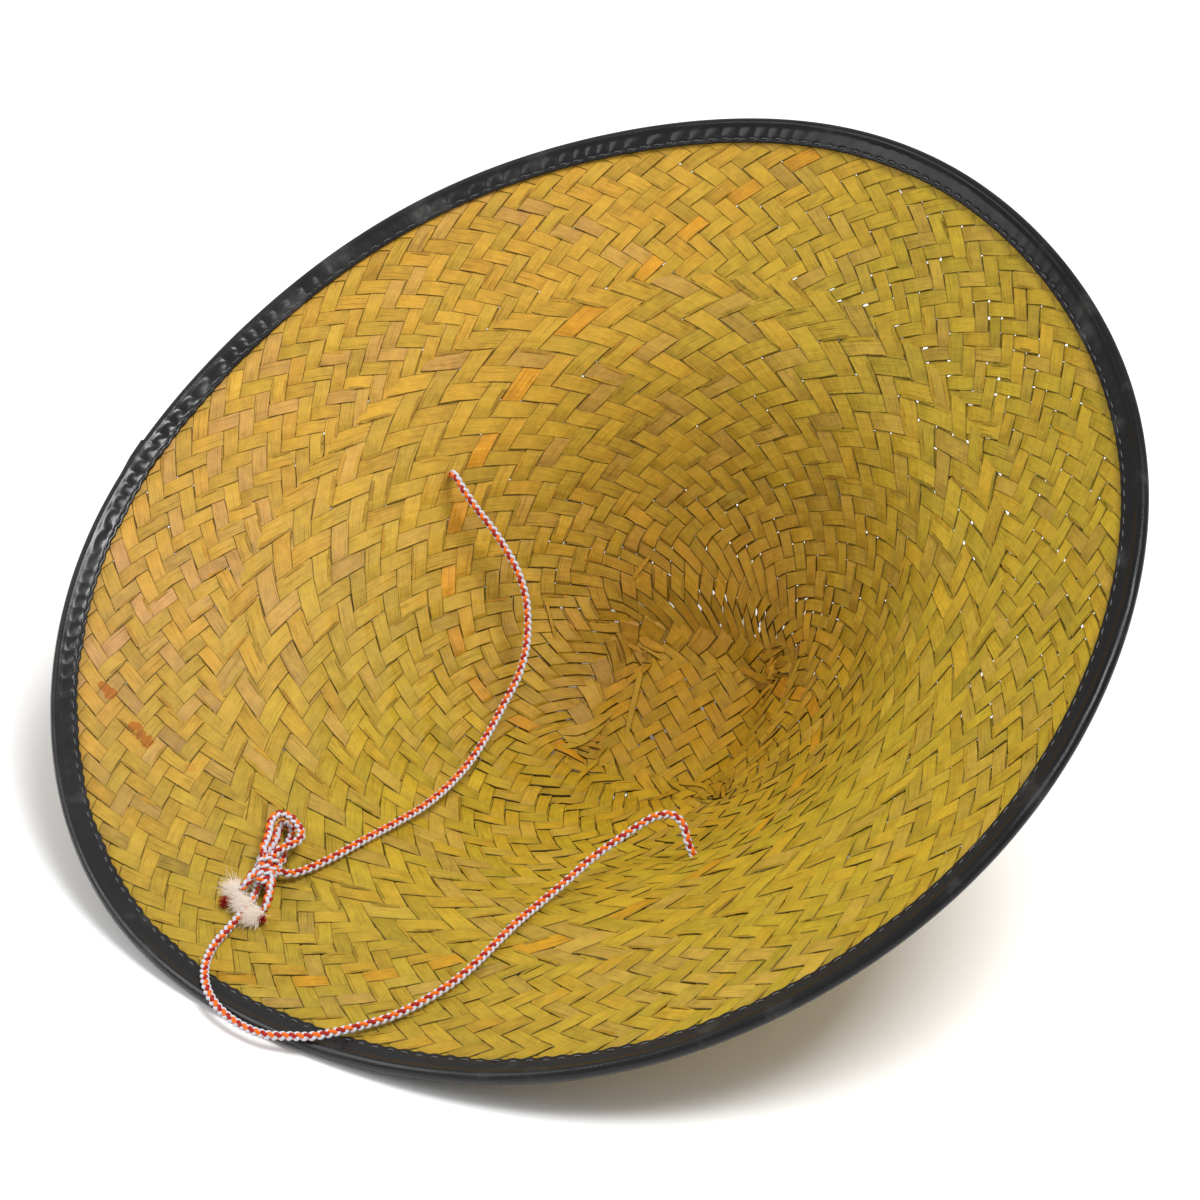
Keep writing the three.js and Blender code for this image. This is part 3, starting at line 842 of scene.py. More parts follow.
def paint_straw(tree, shader):
    """Golden straw with fine fibres and cracks, painted shade at the strips' edges and float ends, tinted by place (in
    the crown partly painted shade) and stained.
    """
    number, vector = node_sums(tree)
    side, run, shade, dark = (
        add_node(tree, "ShaderNodeAttribute", attribute_name=name).outputs["Fac"]
        for name in ("side", "along", "shade", "dark"))

    def streaks(across, along, seed, scale, detail):
        place = add_node(tree, "ShaderNodeCombineXYZ", {
            0: number("MULTIPLY", side, across), 1: number("MULTIPLY", run, along),
            2: number("MULTIPLY", shade, seed)}).outputs[0]
        return noise_at(tree, place, scale, detail, 0.6)

    fibres = streaks(5.0, 0.09, 90.0, 2.0, 4.0)
    blotches = streaks(0.5, 0.05, 40.0, 1.0, 2.0)
    cracks = streaks(9.0, 0.05, 60.0, 1.0, 1.0)
    wrinkles = streaks(0.3, 0.42, 25.0, 1.0, 1.0)
    # painted shade: each strip darkens towards its long edges, where it meets its neighbours
    rim = number("MULTIPLY", number("SUBTRACT", number("ABSOLUTE", side), 0.88), 12.0, clamp=True)
    crack = number("MULTIPLY", number("SUBTRACT", cracks, 0.66), 14.0, clamp=True)
    place = add_node(tree, "ShaderNodeTexCoord").outputs["Object"]
    mottle = noise_at(tree, place, MOTTLE_SCALE, 2.0)
    tone = number("ADD", shade, number("MULTIPLY", number("SUBTRACT", blotches, 0.5), 0.35), clamp=True)
    colour = stained(tree, tinted(tree, ramped(tree, tone), place), place, mottle)
    light = STRAW_LIGHT["least"]
    for value, name in ((fibres, "fibres"), (mottle, "mottle"), (rim, "rim"), (crack, "crack")):
        light = number("ADD", number("MULTIPLY", value, STRAW_LIGHT[name]), light)
    # the stored darkening: a random tone, plus painted shade towards the float ends
    light = number("SUBTRACT", light, dark)
    tree.links.new(vector("SCALE", colour, scale=light), shader.inputs["Base Color"])
    tree.links.new(number("ADD", number("MULTIPLY", fibres, 0.25), 0.38), shader.inputs["Roughness"])
    height = number("MULTIPLY", wrinkles, STRAW_RELIEF["wrinkles"])
    height = number("ADD", number("SUBTRACT", fibres, crack), height)
    relief = add_node(tree, "ShaderNodeBump", {
        "Height": height, "Strength": STRAW_RELIEF["strength"], "Distance": STRAW_RELIEF["height"]})
    tree.links.new(relief.outputs[0], shader.inputs["Normal"])


paint_straw(straw_tree, straw_shader)
lay_strips = ribbon_tree()
RIBBON_SETTINGS = {
    "Form": form, "Flat Size": FLAT_SIZE, "Thickness": STRIP_THICKNESS * MM,
    "Depth": STRAW_THICKNESS / 2 * MM, "Finish": straw_finish,
}
for piece_name, way in (("strips_to_the_right", 1), ("strips_to_the_left", -1)):
    family = Strips()
    for strip in range(STRIPS):
        if strip % 4 == 0:
            first = -TUCK_ROWS
        elif strip % 2 == 0:
            first = FOURS_PART_ROW - chance.uniform(1.5, 2.5)
        else:
            first = PAIRS_PART_ROW - chance.uniform(1.6, 4.2)
        ring_strip(family, strip, way, first, strip_shade())
    for _ in range(FOLD_COUNT // 2):
        row = int(chance.integers(1, 26)) * 2
        strip = folded_strip(row)
        side = 1 if row % TWILL_ROWS == 0 else -1
        fold_line(family, strip, way, row, side, chance.choice((-1, 1)))
    for strip in range(0, STRIPS, 2):
        if chance.uniform() < PARTING_FOLDS:
            row = 36 if way > 0 else 34
            fold_line(family, strip, way, row, way, chance.choice((-1, 1)))
    piece = grown_piece(family.to_object(piece_name), lay_strips, RIBBON_SETTINGS)
    piece.data.set_sharp_from_angle(angle=SHARP_EDGE)
    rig.ride(piece, "root")
    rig.replaces(piece, "straw_shell")
    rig.slot(piece, "straw")


# Mat of the crown
# The flat top is a square-woven mat set cornerwise. The ends of its strips go down under the first ring,
# and a few folded ends fan out at its corners.
MAT_PITCH = 5.0
MAT_MIDDLE = (4, 7)
MAT_REACH = 11
MAT_OVERHANG = 4.0
MAT_STEP = 0.25
MAT_FEWEST_STEPS = 6
MAT_STRIP_HALF = 0.465
MAT_LEAN = 0.16
LOOSE_STRIPS = (
    # hat angle and radius of each end, width, shade
    ((236, 23.5), (325, 16.5), 2.3, 0.3),
    ((221.8, 49.75), (212.8, 55.25), 1.6, 0.7),
    ((253.8, 58), (262.8, 47.5), 1.2, 0.6),
    ((307.5, 37), (288, 21), 4.2, 0.1),
    ((318, 38), (300, 23), 2.6, 0.25),
    ((339, 37.5), (325, 27), 2.2, 0.5),
    ((128, 37), (150, 30), 2.4, 0.7),
    ((122, 40), (110, 27), 1.8, 0.8),
    ((56, 40), (40, 29), 2.0, 0.5),
    ((228, 34), (214, 27), 3.2, 0.8),
)
LOOSE_WIDTHS = np.array([0.6, 1, 0.9, 1, 0.85, 0.45])
LOOSE_HEIGHTS = np.array([0.4, 0.95, 1.05, 1.0, 0.95, 0.4])
CORNER_FOLDS = 9
CORNER_WIDTHS = np.array([0.7, 1, 1, 0.8, 0.3])
CORNER_HEIGHTS = np.array([-0.3, 0.75, 1.0, 0.6, -0.3])
mat_axes = np.array([[math.sin(MAT_TURN), -math.cos(MAT_TURN)],
                     [math.sin(MAT_TURN - math.pi / 2), -math.cos(MAT_TURN - math.pi / 2)]])


def past_mat_edge(places):
    """Distance of places beyond the mat's edge."""
    angles = np.arctan2(places[:, 0], -places[:, 1]) % (2 * math.pi)
    return np.hypot(places[:, 0], places[:, 1]) - np.interp(angles, EDGE_ANGLES, EDGE_RADII)


def mat_strip(strips, axis, index):
    """One strip of the mat, along one of its two axes, with its ends tucked down past the edge."""
    along_axis, across_axis = mat_axes[axis], mat_axes[1 - axis]
    offset = MAT_MIDDLE[1 - axis] + (index + 0.05 * chance.normal()) * MAT_PITCH

    def places_at(rows):
        return (MAT_MIDDLE[axis] + rows * MAT_PITCH)[:, None] * along_axis + offset * across_axis

    steps = np.arange(-MAT_REACH, MAT_REACH + MAT_STEP / 2, MAT_STEP)
    inside = steps[past_mat_edge(places_at(steps)) < MAT_OVERHANG]
    if len(inside) < MAT_FEWEST_STEPS:
        return
    first, last = inside[0] + index, inside[-1] + index
    rows, sides, middles = drawn_rows(float_knots(first + 0.3, last - 0.3), first, last)
    places = places_at(rows - index)
    tucked = ease(past_mat_edge(places), -1.0, 1.0)
    lift = (1 if axis == 0 else -1) * sides * (WEAVE_HEIGHT + middles * FLOAT_SWELL)
    lift = lift * (1 - tucked) - TUCK_DEPTH * tucked
    half = MAT_PITCH * (MAT_STRIP_HALF + 0.02 * chance.normal() + 0.012 * chance.normal(size=len(rows)))
    across = across_axis * half[:, None] * MM
    # darker at random per strip, plus painted shade towards the float ends, where they dive under
    dark = 0.04 * chance.normal() + 0.09 * (~middles)
    lean = MAT_LEAN * chance.normal(size=len(rows))
    strips.add(places * MM, across, lift * MM, lean * MM, strip_shade(), dark)


def loose_strip(strips, begin, end, width, shade):
    """A narrow strip that lies loose on the mat, from one angle and radius of the hat to another."""
    ends = [flat_place(math.radians(angle), radius) for angle, radius in (begin, end)]
    count = len(LOOSE_WIDTHS)
    along = ends[1] - ends[0]
    places = ends[0] + along * np.linspace(0, 1, count)[:, None]
    square = np.array([along[1], -along[0]]) / np.linalg.norm(along)
    across = square * LOOSE_WIDTHS[:, None] * width / 2 * MM
    strips.add(places, across, LOOSE_HEIGHTS * MM, np.full(count, 0.1 * MM), shade, np.zeros(count))


def corner_fold(strips, corner):
    """A narrow dark end of a strip, folded up at a corner of the mat and pointing away from it."""
    start = corner[0] * mat_axes[0] + corner[1] * mat_axes[1]
    outwards = math.atan2(start[0], -start[1]) + chance.normal() * 0.5
    direction = np.array([math.sin(outwards), -math.cos(outwards)])
    across_axis = np.array([direction[1], -direction[0]])
    begin = start + across_axis * chance.normal() * 3.5 - direction * chance.uniform(1, 8)
    count = len(CORNER_WIDTHS)
    share = np.linspace(0, 1, count)
    run = share * chance.uniform(7, 13)
    bow = share * (1 - share) * chance.normal() * 3
    places = begin + run[:, None] * direction + bow[:, None] * across_axis
    half = chance.uniform(0.5, 1.3) * CORNER_WIDTHS
    lift = CORNER_HEIGHTS * chance.uniform(0.8, 1.2)
    lean = np.full(count, 0.25 * chance.normal())
    shade = chance.uniform(0.5, 1)
    dark = np.full(count, chance.uniform(0.1, 0.4))
    strips.add(places * MM, across_axis * half[:, None] * MM, lift * MM, lean * MM, shade, dark)


mat = Strips()
for axis in (0, 1):
    for index in range(-MAT_REACH, MAT_REACH + 1):
        mat_strip(mat, axis, index)
for loose in LOOSE_STRIPS:
    loose_strip(mat, *loose)
for corner in MAT_CORNERS:
    for _ in range(CORNER_FOLDS):
        corner_fold(mat, corner)
crown_mat = grown_piece(mat.to_object("crown_mat"), lay_strips, RIBBON_SETTINGS)
crown_mat.data.set_sharp_from_angle(angle=SHARP_EDGE)
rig.ride(crown_mat, "root")
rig.replaces(crown_mat, "straw_shell")
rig.slot(crown_mat, "straw")


# Edge binding
# A strip of black vinyl folded over the straw's edge and stitched through near its inner edge. It
# puckers between the stitches and swells to a round roll over the edge.
TAPE_THICKNESS = 0.8
TAPE_FLANGE = 6.6
TAPE_GAP = 0.3
EDGE_ROLL = 2.4
ROLL_SWELL = 0.5
TAPE_STEPS = 2400
STITCH_COUNT = 222
STITCH_LINE = -5.2
STITCH_LENGTH = 2.6
STITCH_THICKNESS = 0.36
PUCKER_COUNT = 180
STITCH_PULL = {"reach": 0.6, "depth": 0.16}
STITCH_RUN = np.array([-0.5, -0.3, 0, 0.3, 0.5])
STITCH_SAG = np.array([-0.35, 0.05, 0.16, 0.05, -0.35])
PUCKER = {"middle": -2.7, "reach": 1.6, "height": 0.38}
PUCKERS_BEGIN = (math.radians(165), math.radians(205))
PUCKERS_END = (math.radians(298), math.radians(312))
LAP_START = math.radians(274.2)
LAP_STEP = 0.002
LAP_FADES = (0.04, 0.09)
LAP_THICKNESS = 0.5
VINYL_BLACK = (0.0075, 0.0072, 0.0078, 1)
VINYL_DUSTY = (0.06, 0.058, 0.055, 1)
VINYL_ROUGHNESS = (0.2, 0.42)
VINYL_GLOSS = (0.38, 0.15)
GLOSS_AXIS = (0.8, 0.6, 0)
GLOSS_FADES = (-0.05, 0.15)
tape_finish, tape_tree, tape_shader = new_material("black_vinyl", 0.3, Specular_IOR_Level=0.3)
thread_finish, _, _ = new_material("black_thread", 0.55, Base_Color=(0.09, 0.09, 0.097, 1))


def paint_tape(tree, shader):
    """Black vinyl with grey worn patches and a fine grain, glossier on the left of the hat."""
    number, vector = node_sums(tree)
    place = add_node(tree, "ShaderNodeTexCoord").outputs["Object"]
    grain = noise_at(tree, place, 900.0, 3.0)
    patches = noise_at(tree, place, 60.0, 4.0)
    dusty = number("MULTIPLY", ranged(tree, patches, 0.58, 0.72), grain)
    colour = blend(tree, dusty, VINYL_BLACK, VINYL_DUSTY)
    gloss = ranged(tree, vector("DOT_PRODUCT", place, GLOSS_AXIS), *GLOSS_FADES, *VINYL_GLOSS)
    tree.links.new(colour, shader.inputs["Base Color"])
    tree.links.new(ranged(tree, patches, 0.35, 0.7, *VINYL_ROUGHNESS), shader.inputs["Roughness"])
    tree.links.new(gloss, shader.inputs["Specular IOR Level"])
    relief = add_node(tree, "ShaderNodeBump", {"Height": grain, "Strength": 0.25, "Distance": 0.0002})
    tree.links.new(relief.outputs[0], shader.inputs["Normal"])


paint_tape(tape_tree, tape_shader)


def tape_outline():
    """The tape's section: distances past the straw's edge and across it, and their place on the hat."""
    slope = LINE[-2] - LINE[-1]
    slope = slope / np.linalg.norm(slope)
    inwards = np.array([slope[0], -slope[1]])
    under = np.array([inwards[1], -inwards[0]])
    under = under if under[1] < 0 else -under
    near = STRAW_THICKNESS / 2 + TAPE_GAP
    far = near + TAPE_THICKNESS
    swollen = far + ROLL_SWELL
    half = [(-TAPE_FLANGE, near), (-TAPE_FLANGE, near + 0.5), (-TAPE_FLANGE + 0.35, far - 0.05),
            (-5.8, far), (-5.4, far - 0.12), (STITCH_LINE, far - 0.22), (-4.9, far - 0.1), (-4.4, far),
            (-3.8, far), (-3.1, far), (-2.4, far), (-1.7, far), (-1.1, far + 0.05), (-0.5, far + 0.25),
            (0.1, swollen), (0.7, swollen), (1.3, swollen * 0.88), (1.9, swollen * 0.62),
            (2.28, swollen * 0.32)]
    line = half + [(EDGE_ROLL, 0)] + [(out, -up) for out, up in reversed(half)]
    line = line + [(TAPE_GAP, -near), (TAPE_GAP, near)]
    middle = np.array([STRAW_EDGE, -LINE[-1][1]]) + under * STRAW_THICKNESS / 2
    return np.array([middle - inwards * out - under * up for out, up in line]), line


def on_tape(angle, radius, height):
    """Place at an angle of the hat, for a radius and height of the tape's section."""
    edge = np.full(np.shape(angle), STRAW_EDGE)
    return on_form(angle, edge, radius - STRAW_EDGE, height + LINE[-1][1])


def waves(angles, *parts):
    """A sum of waves round the hat, each given by its count, its size and its phase."""
    return sum(size * np.sin(angles * count + phase) for count, size, phase in parts)


def make_tape():
    """The folded tape as one closed mesh: puckers, the pull of the stitches, a wavy edge and the lap."""
    outline, line = tape_outline()
    angles = np.linspace(0, 2 * math.pi, TAPE_STEPS, endpoint=False)
    stitches = angles * STITCH_COUNT
    uneven = np.cumsum(1 + waves(angles, (17, 0.25, 1.3), (31, 0.2, 0.4)))
    puckers = uneven / uneven[-1] * PUCKER_COUNT * 2 * math.pi
    pulled_side = ease(angles, *PUCKERS_BEGIN) * (1 - ease(angles, *PUCKERS_END))
    patchy = ease(waves(angles, (7, 1, 0), (13, 0.7, 1), (19, 0.5, 2)), -1.6, 0.6)
    strength = 0.12 + pulled_side * (0.25 + 0.6 * patchy)
    ridge = 2 * np.abs(np.cos(puckers / 2)) - 1
    past_lap = angles - LAP_START
    lap = ease(past_lap, 0, LAP_STEP) * (1 - ease(past_lap, *LAP_FADES))
    low_side = ease(np.cos(angles + 0.3), -0.2, 0.6)
    waver = waves(angles, (23, 0.35, 1), (41, 0.25, 0), (67, 0.2, 2))
    corners = np.empty((TAPE_STEPS, len(outline), 3))
    for index, ((radius, height), (out, up)) in enumerate(zip(outline, line)):
        face = math.copysign(1, up) if abs(up) > 1.2 else 0
        pucker = math.exp(-((out - PUCKER["middle"]) / PUCKER["reach"]) ** 2) * PUCKER["height"]
        pucker = pucker * strength * ridge
        pulled = math.exp(-((out - STITCH_LINE) / STITCH_PULL["reach"]) ** 2) * STITCH_PULL["depth"]
        pulled = pulled * np.cos(stitches)
        edge_wave = ((0.4 * waver * (0.12 + low_side) - (0.05 + 0.16 * low_side) * np.cos(stitches))
                     * max(0, 1 - (out + TAPE_FLANGE) / 1.5))
        roll_wave = 0.16 * waver * (out > -1)
        if face > 0:
            rise = np.clip(pucker + pulled + roll_wave, -0.35, 0.9)
        else:
            rise = (pucker + pulled) * face * 0.5
        rise = rise + LAP_THICKNESS * lap * face
        swell = LAP_THICKNESS * lap * (out > 0)
        corners[:, index] = on_tape(angles, radius - edge_wave + swell, height + rise)
    faces = ring_faces(TAPE_STEPS, len(outline), closed=True)
    faces = [(here, ahead, ahead_beside, beside) for here, beside, ahead_beside, ahead in faces]
    mesh = new_mesh("edge_binding", corners.reshape(-1, 3), [], faces)
    mesh.materials.append(tape_finish)
    mesh.shade_smooth()
    return new_object("edge_binding", mesh)


def thread_tree():
    """Threads along loose edges: each a thin round tube, with its width stored on its points."""
    tree, given = new_group("round_threads", {
        "Threads": "Geometry", "Sides": "Int", "Finish": "Material"}, "Tubes")
    lines = add_node(tree, "GeometryNodeMeshToCurve", {"Mesh": given["Threads"]}).outputs[0]
    section = add_node(tree, "GeometryNodeCurvePrimitiveCircle",
                       {"Resolution": given["Sides"], "Radius": 1.0}).outputs[0]
    tubes = add_node(tree, "GeometryNodeCurveToMesh", {
        "Curve": lines, "Profile Curve": section, "Scale": stored_value(tree, "width"),
        "Fill Caps": True}).outputs[0]
    return finish_group(tree, tubes, given["Finish"], "Tubes")


def threads_object(name, runs, widths):
    """Loose edges through runs of places in metres, all of one length, with a width at each place."""
    runs = np.asarray(runs, float)
    count, steps = runs.shape[:2]
    starts = [run * steps + step for run in range(count) for step in range(steps - 1)]
    edges = [(start, start + 1) for start in starts]
    mesh = new_mesh(name, runs.reshape(-1, 3), edges, [])
    width = mesh.attributes.new("width", "FLOAT", "POINT")
    width.data.foreach_set("value", np.broadcast_to(widths, (count, steps)).ravel() * MM)
    return new_object(name, mesh)


def make_stitches():
    """A short thread for each stitch, sunk at its ends, on both sides of the tape."""
    outline, line = tape_outline()
    runs = []
    for face in (1, -1):
        index = next(i for i, (out, up) in enumerate(line) if out == STITCH_LINE and up * face > 0)
        radius, height = outline[index]
        middles = np.linspace(0, 2 * math.pi, STITCH_COUNT, endpoint=False) + math.pi / STITCH_COUNT
        middles = middles + chance.normal(size=STITCH_COUNT) * 0.0015
        angles = middles[:, None] + STITCH_RUN * STITCH_LENGTH / radius
        wander = 0.12 * chance.normal(size=(STITCH_COUNT, 1))
        level = np.zeros_like(angles)
        runs.append(on_tape(angles, radius + wander + level, height + face * STITCH_SAG + level))
    widths = np.full(len(STITCH_RUN), STITCH_THICKNESS / 2)
    stitches = threads_object("edge_stitches", np.concatenate(runs), widths)
    return grown_piece(stitches, round_threads, {"Sides": 6, "Finish": thread_finish})


round_threads = thread_tree()
tape = make_tape()
stitches = make_stitches()
stitches.data.shade_smooth()
for piece in (tape, stitches):
    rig.ride(piece, "root")
    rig.replaces(piece, "rim_binding")
    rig.slot(piece, "vinyl")


# Chin cord
# A 3 mm cord braided from four yarns, white, white, orange and dark red. Each strand starts at a stop
# knot outside the straw, comes in through a hole and runs down the brim to the bow.
CORD_DIAMETER = 3.0
BRAID_PERIOD = 4.8
YARN_RADIUS = 0.64
BRAID_RADIUS = 0.66
BRAID_WAVE = 0.26
FLOAT_STRETCH = 0.36
BRAID_STEP = 0.3
YARN_SIDES = 7
BOW_MIDDLE = (-44.5, -105.5, 15.7)
LEFT_HOLE = ((-95.38, 49.055, 80.148), (0.612, -0.584, 0.533))
RIGHT_HOLE = ((62.748, -23.427, 20.4), (-0.489, -0.010, 0.872))
LEFT_STRAND = (
    (-89.6, 44.6, 82.6), (-86.0, 43.4, 80.2), (-79.0, 42.9, 74.0), (-72.0, 42.8, 68.3),
    (-65.3, 42.0, 62.4), (-59.0, 40.3, 56.8), (-53.0, 37.1, 49.9), (-48.1, 31.9, 43.1),
    (-44.3, 26.0, 37.1), (-41.2, 17.5, 30.9), (-39.3, 7.4, 25.5), (-36.9, -4.4, 20.0),
    (-34.2, -18.4, 15.8), (-32.3, -32.2, 13.9), (-31.1, -45.9, 13.6), (-31.4, -59.2, 14.0),
    (-32.0, -73.2, 14.7), (-33.6, -86.0, 14.2), (-36.1, -96.1, 13.7), (-38.5, -102.0, 14.0),
)
RIGHT_STRAND = (
    (58.4, -22.4, 28.2), (56.3, -22.2, 30.4), (53.2, -23.0, 31.6), (49.3, -25.8, 30.6),
    (45.9, -30.3, 28.0), (42.4, -36.7, 24.6), (39.1, -45.4, 21.0), (37.9, -57.8, 18.0),
    (36.9, -69.7, 15.8), (37.4, -80.7, 15.4), (38.3, -92.1, 14.4), (39.1, -103.3, 13.1),
    (38.6, -114.1, 11.6), (36.4, -124.2, 10.1), (33.0, -134.0, 8.8), (27.7, -143.0, 7.8),
    (23.3, -150.0, 7.6), (18.8, -155.2, 7.2), (12.3, -158.2, 6.1), (5.5, -160.6, 4.9),
    (-2.3, -161.3, 4.4), (-10.6, -160.7, 4.8), (-18.4, -158.6, 5.8), (-24.8, -154.9, 7.0),
    (-31.4, -148.2, 7.4), (-36.0, -139.8, 8.0), (-38.0, -131.3, 8.8), (-39.5, -122.8, 10.0),
    (-41.7, -115.4, 11.2), (-44.2, -110.6, 12.0),
)
OUTER_LOOP = (
    (-48.4, -103.1, 19.6), (-50.2, -99.6, 20.6), (-52.2, -96.3, 21.0), (-54.6, -93.1, 21.8),
    (-55.8, -89.5, 22.5), (-54.9, -87.2, 22.7), (-52.2, -86.4, 22.3), (-48.9, -87.0, 21.4),
    (-45.9, -88.2, 20.6), (-43.9, -90.5, 19.9), (-43.4, -93.2, 19.5), (-43.9, -96.2, 19.5),
    (-44.3, -100.9, 19.6),
)
INNER_LOOP = (
    (-49.6, -102.3, 15.2), (-51.4, -96.5, 15.6), (-53.0, -92.3, 16.4), (-55.3, -89.0, 17.2),
    (-56.1, -86.3, 17.7), (-54.9, -84.7, 17.8), (-52.7, -85.4, 17.2), (-50.5, -87.9, 16.5),
    (-49.0, -91.0, 15.9), (-47.5, -94.8, 15.5), (-44.3, -99.5, 15.2),
)
UPPER_TAIL = ((-44.9, -111.8, 16.8), (-44.6, -114.8, 15.2), (-45.4, -117.4, 13.3))
LOWER_TAIL = ((-38.6, -110.4, 15.6), (-36.1, -113.8, 14.2), (-34.6, -116.6, 12.7), (-33.5, -119.3, 11.2))
YARNS = (
    # name, colour, way round, phase in turns
    ("orange_yarn", (0.72, 0.13, 0.008, 1), 1, 0.0),
    ("red_yarn", (0.33, 0.016, 0.008, 1), 1, 0.5),
    ("white_yarn", (0.52, 0.52, 0.57, 1), -1, 0.0),
    ("white_yarn", (0.52, 0.52, 0.57, 1), -1, 0.5),
)
COLUMNS_FACE = np.array([0.519, -0.670, 0.532])
COLUMNS_LEAN = 0.5
COLUMNS_SPAN = 6.0
TAPER_RUN = 3
HOLE_DISTANCES = (-3.5, -1.2, 1.5, 4.2)
KNOT_DISTANCE = -5.3
HITCH_MIDDLE = (-42.2, -109.6, 14.6)
EXIT_STEP = 8
PATH_STEP = 4
yarn_finishes = {}
for yarn_name, yarn_colour, _, _ in YARNS:
    if yarn_name not in yarn_finishes:
        yarn_finishes[yarn_name], _, _ = new_material(
            yarn_name, 0.75, Base_Color=yarn_colour, Specular_IOR_Level=0.2)


def smooth_run(places, step=BRAID_STEP):
    """A smooth line through places, with points a step apart."""
    places = np.asarray(places, float)
    ends = [2 * places[0] - places[1], *places, 2 * places[-1] - places[-2]]
    line = []
    for a, b, c, d in zip(ends, ends[1:], ends[2:], ends[3:]):
        spans = [max(np.linalg.norm(q - p), 1e-6) ** 0.5 for p, q in ((a, b), (b, c), (c, d))]
        leave = (c - b) - spans[1] * ((c - a) / (spans[0] + spans[1]) - (b - a) / spans[0])
        arrive = (c - b) + spans[1] * ((d - c) / spans[2] - (d - b) / (spans[1] + spans[2]))
        for share in np.linspace(0, 1, 24, endpoint=False):
            square, cube = share ** 2, share ** 3
            line.append(b * (2 * cube - 3 * square + 1) + leave * (cube - 2 * square + share)
                        + c * (3 * square - 2 * cube) + arrive * (cube - square))
    line.append(places[-1])
    line = np.array(line)
    run = run_along(line)
    even = np.linspace(0, run[-1], max(3, int(run[-1] / step) + 1))
    return np.stack([np.interp(even, run, line[:, k]) for k in range(3)], axis=1), even


def carried_frame(line):
    """Two directions square to a line, carried along it without twist."""
    forward = np.gradient(line, axis=0)
    forward /= np.linalg.norm(forward, axis=1)[:, None]
    aside = np.cross(forward[0], (0.3, 0.2, 1.0))
    asides = []
    for direction in forward:
        aside = aside - direction * (aside @ direction)
        aside = aside / np.linalg.norm(aside)
        asides.append(aside)
    asides = np.array(asides)
    return forward, asides, np.cross(forward, asides)


def columns_turn(run, aside, across):
    """Angles that keep a lying strand's white column on its left and the orange one on its right."""
    facing = np.unwrap(np.arctan2(across @ COLUMNS_FACE, aside @ COLUMNS_FACE))
    weights = np.exp(-((run[:, None] - run[None, :]) / COLUMNS_SPAN) ** 2)
    return (weights @ facing) / weights.sum(axis=1) + COLUMNS_LEAN


def braided(name, places, taper=0.0, lying=False):
    """A braid of four yarns along a line of places, as one mesh, and its middle line in metres."""
    line, run = smooth_run(places)
    _, aside, across = carried_frame(line)
    turned = columns_turn(run, aside, across) if lying else run * 0.015
    corners, faces, finishes = [], [], []
    thin = 1 - taper * ease(run, run[-1] - TAPER_RUN, run[-1])
    for yarn_index, (_, _, way, phase) in enumerate(YARNS):
        turn = 2 * math.pi * (run / BRAID_PERIOD + phase)
        around = way * turn - FLOAT_STRETCH * np.sin(2 * turn)
        reach = (BRAID_RADIUS + way * BRAID_WAVE * np.cos(2 * turn)) * thin
        around = around + turned
        outwards = np.cos(around)[:, None] * aside + np.sin(around)[:, None] * across
        centre = line + reach[:, None] * outwards
        _, side, lift = carried_frame(centre)
        start = sum(len(part) for part in corners)
        ring = np.linspace(0, 2 * math.pi, YARN_SIDES, endpoint=False)[None, :, None]
        section = np.cos(ring) * side[:, None] + np.sin(ring) * lift[:, None]
        tube = centre[:, None] + YARN_RADIUS * thin[:, None, None] * section
        corners.append(tube.reshape(-1, 3))
        last = start + (len(centre) - 1) * YARN_SIDES
        faces += ring_faces(len(centre), YARN_SIDES, start)
        faces.append(tuple(start + index for index in reversed(range(YARN_SIDES))))
        faces.append(tuple(last + index for index in range(YARN_SIDES)))
        finishes += [yarn_index] * (len(faces) - len(finishes))
    mesh = new_mesh(name, np.vstack(corners) * MM, [], faces)
    for yarn_name, _, _, _ in YARNS:
        mesh.materials.append(yarn_finishes[yarn_name])
    mesh.polygons.foreach_set("material_index", finishes)
    mesh.shade_smooth()
    piece = new_object(name, mesh)
    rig.ride(piece, "root")
    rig.slot(piece, "cord")
    return piece, line * MM


def through_hole(hole, distances):
    """Places on the line through a hole, at distances from it towards the inside."""
    middle, inwards = np.array(hole[0]), np.array(hole[1])
    return [tuple(middle + inwards * distance) for distance in distances]


def run_length(line):
    return float(run_along(line)[-1])


left_places = through_hole(LEFT_HOLE, HOLE_DISTANCES) + [*LEFT_STRAND, BOW_MIDDLE]
right_places = through_hole(RIGHT_HOLE, HOLE_DISTANCES) + [*RIGHT_STRAND, BOW_MIDDLE]
left_cord, left_line = braided("chin_cord_left_braid", left_places, lying=True)
right_cord, right_line = braided("chin_cord_right_braid", right_places, lying=True)
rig.replaces(left_cord, "chin_cord_left")
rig.replaces(right_cord, "chin_cord_right")
outer_loop, _ = braided("bow_loop_outer_braid", [BOW_MIDDLE, *OUTER_LOOP, BOW_MIDDLE])
inner_loop, _ = braided("bow_loop_inner_braid", [BOW_MIDDLE, *INNER_LOOP, BOW_MIDDLE])
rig.replaces(outer_loop, "bow_loop_outer")
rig.replaces(inner_loop, "bow_loop_inner")
upper_tail, _ = braided("cord_tail_upper_braid", [BOW_MIDDLE, *UPPER_TAIL], taper=0.3)
lower_tail, _ = braided("cord_tail_lower_braid", [BOW_MIDDLE, *LOWER_TAIL], taper=0.3)
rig.replaces(upper_tail, "cord_tail_upper")
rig.replaces(lower_tail, "cord_tail_lower")


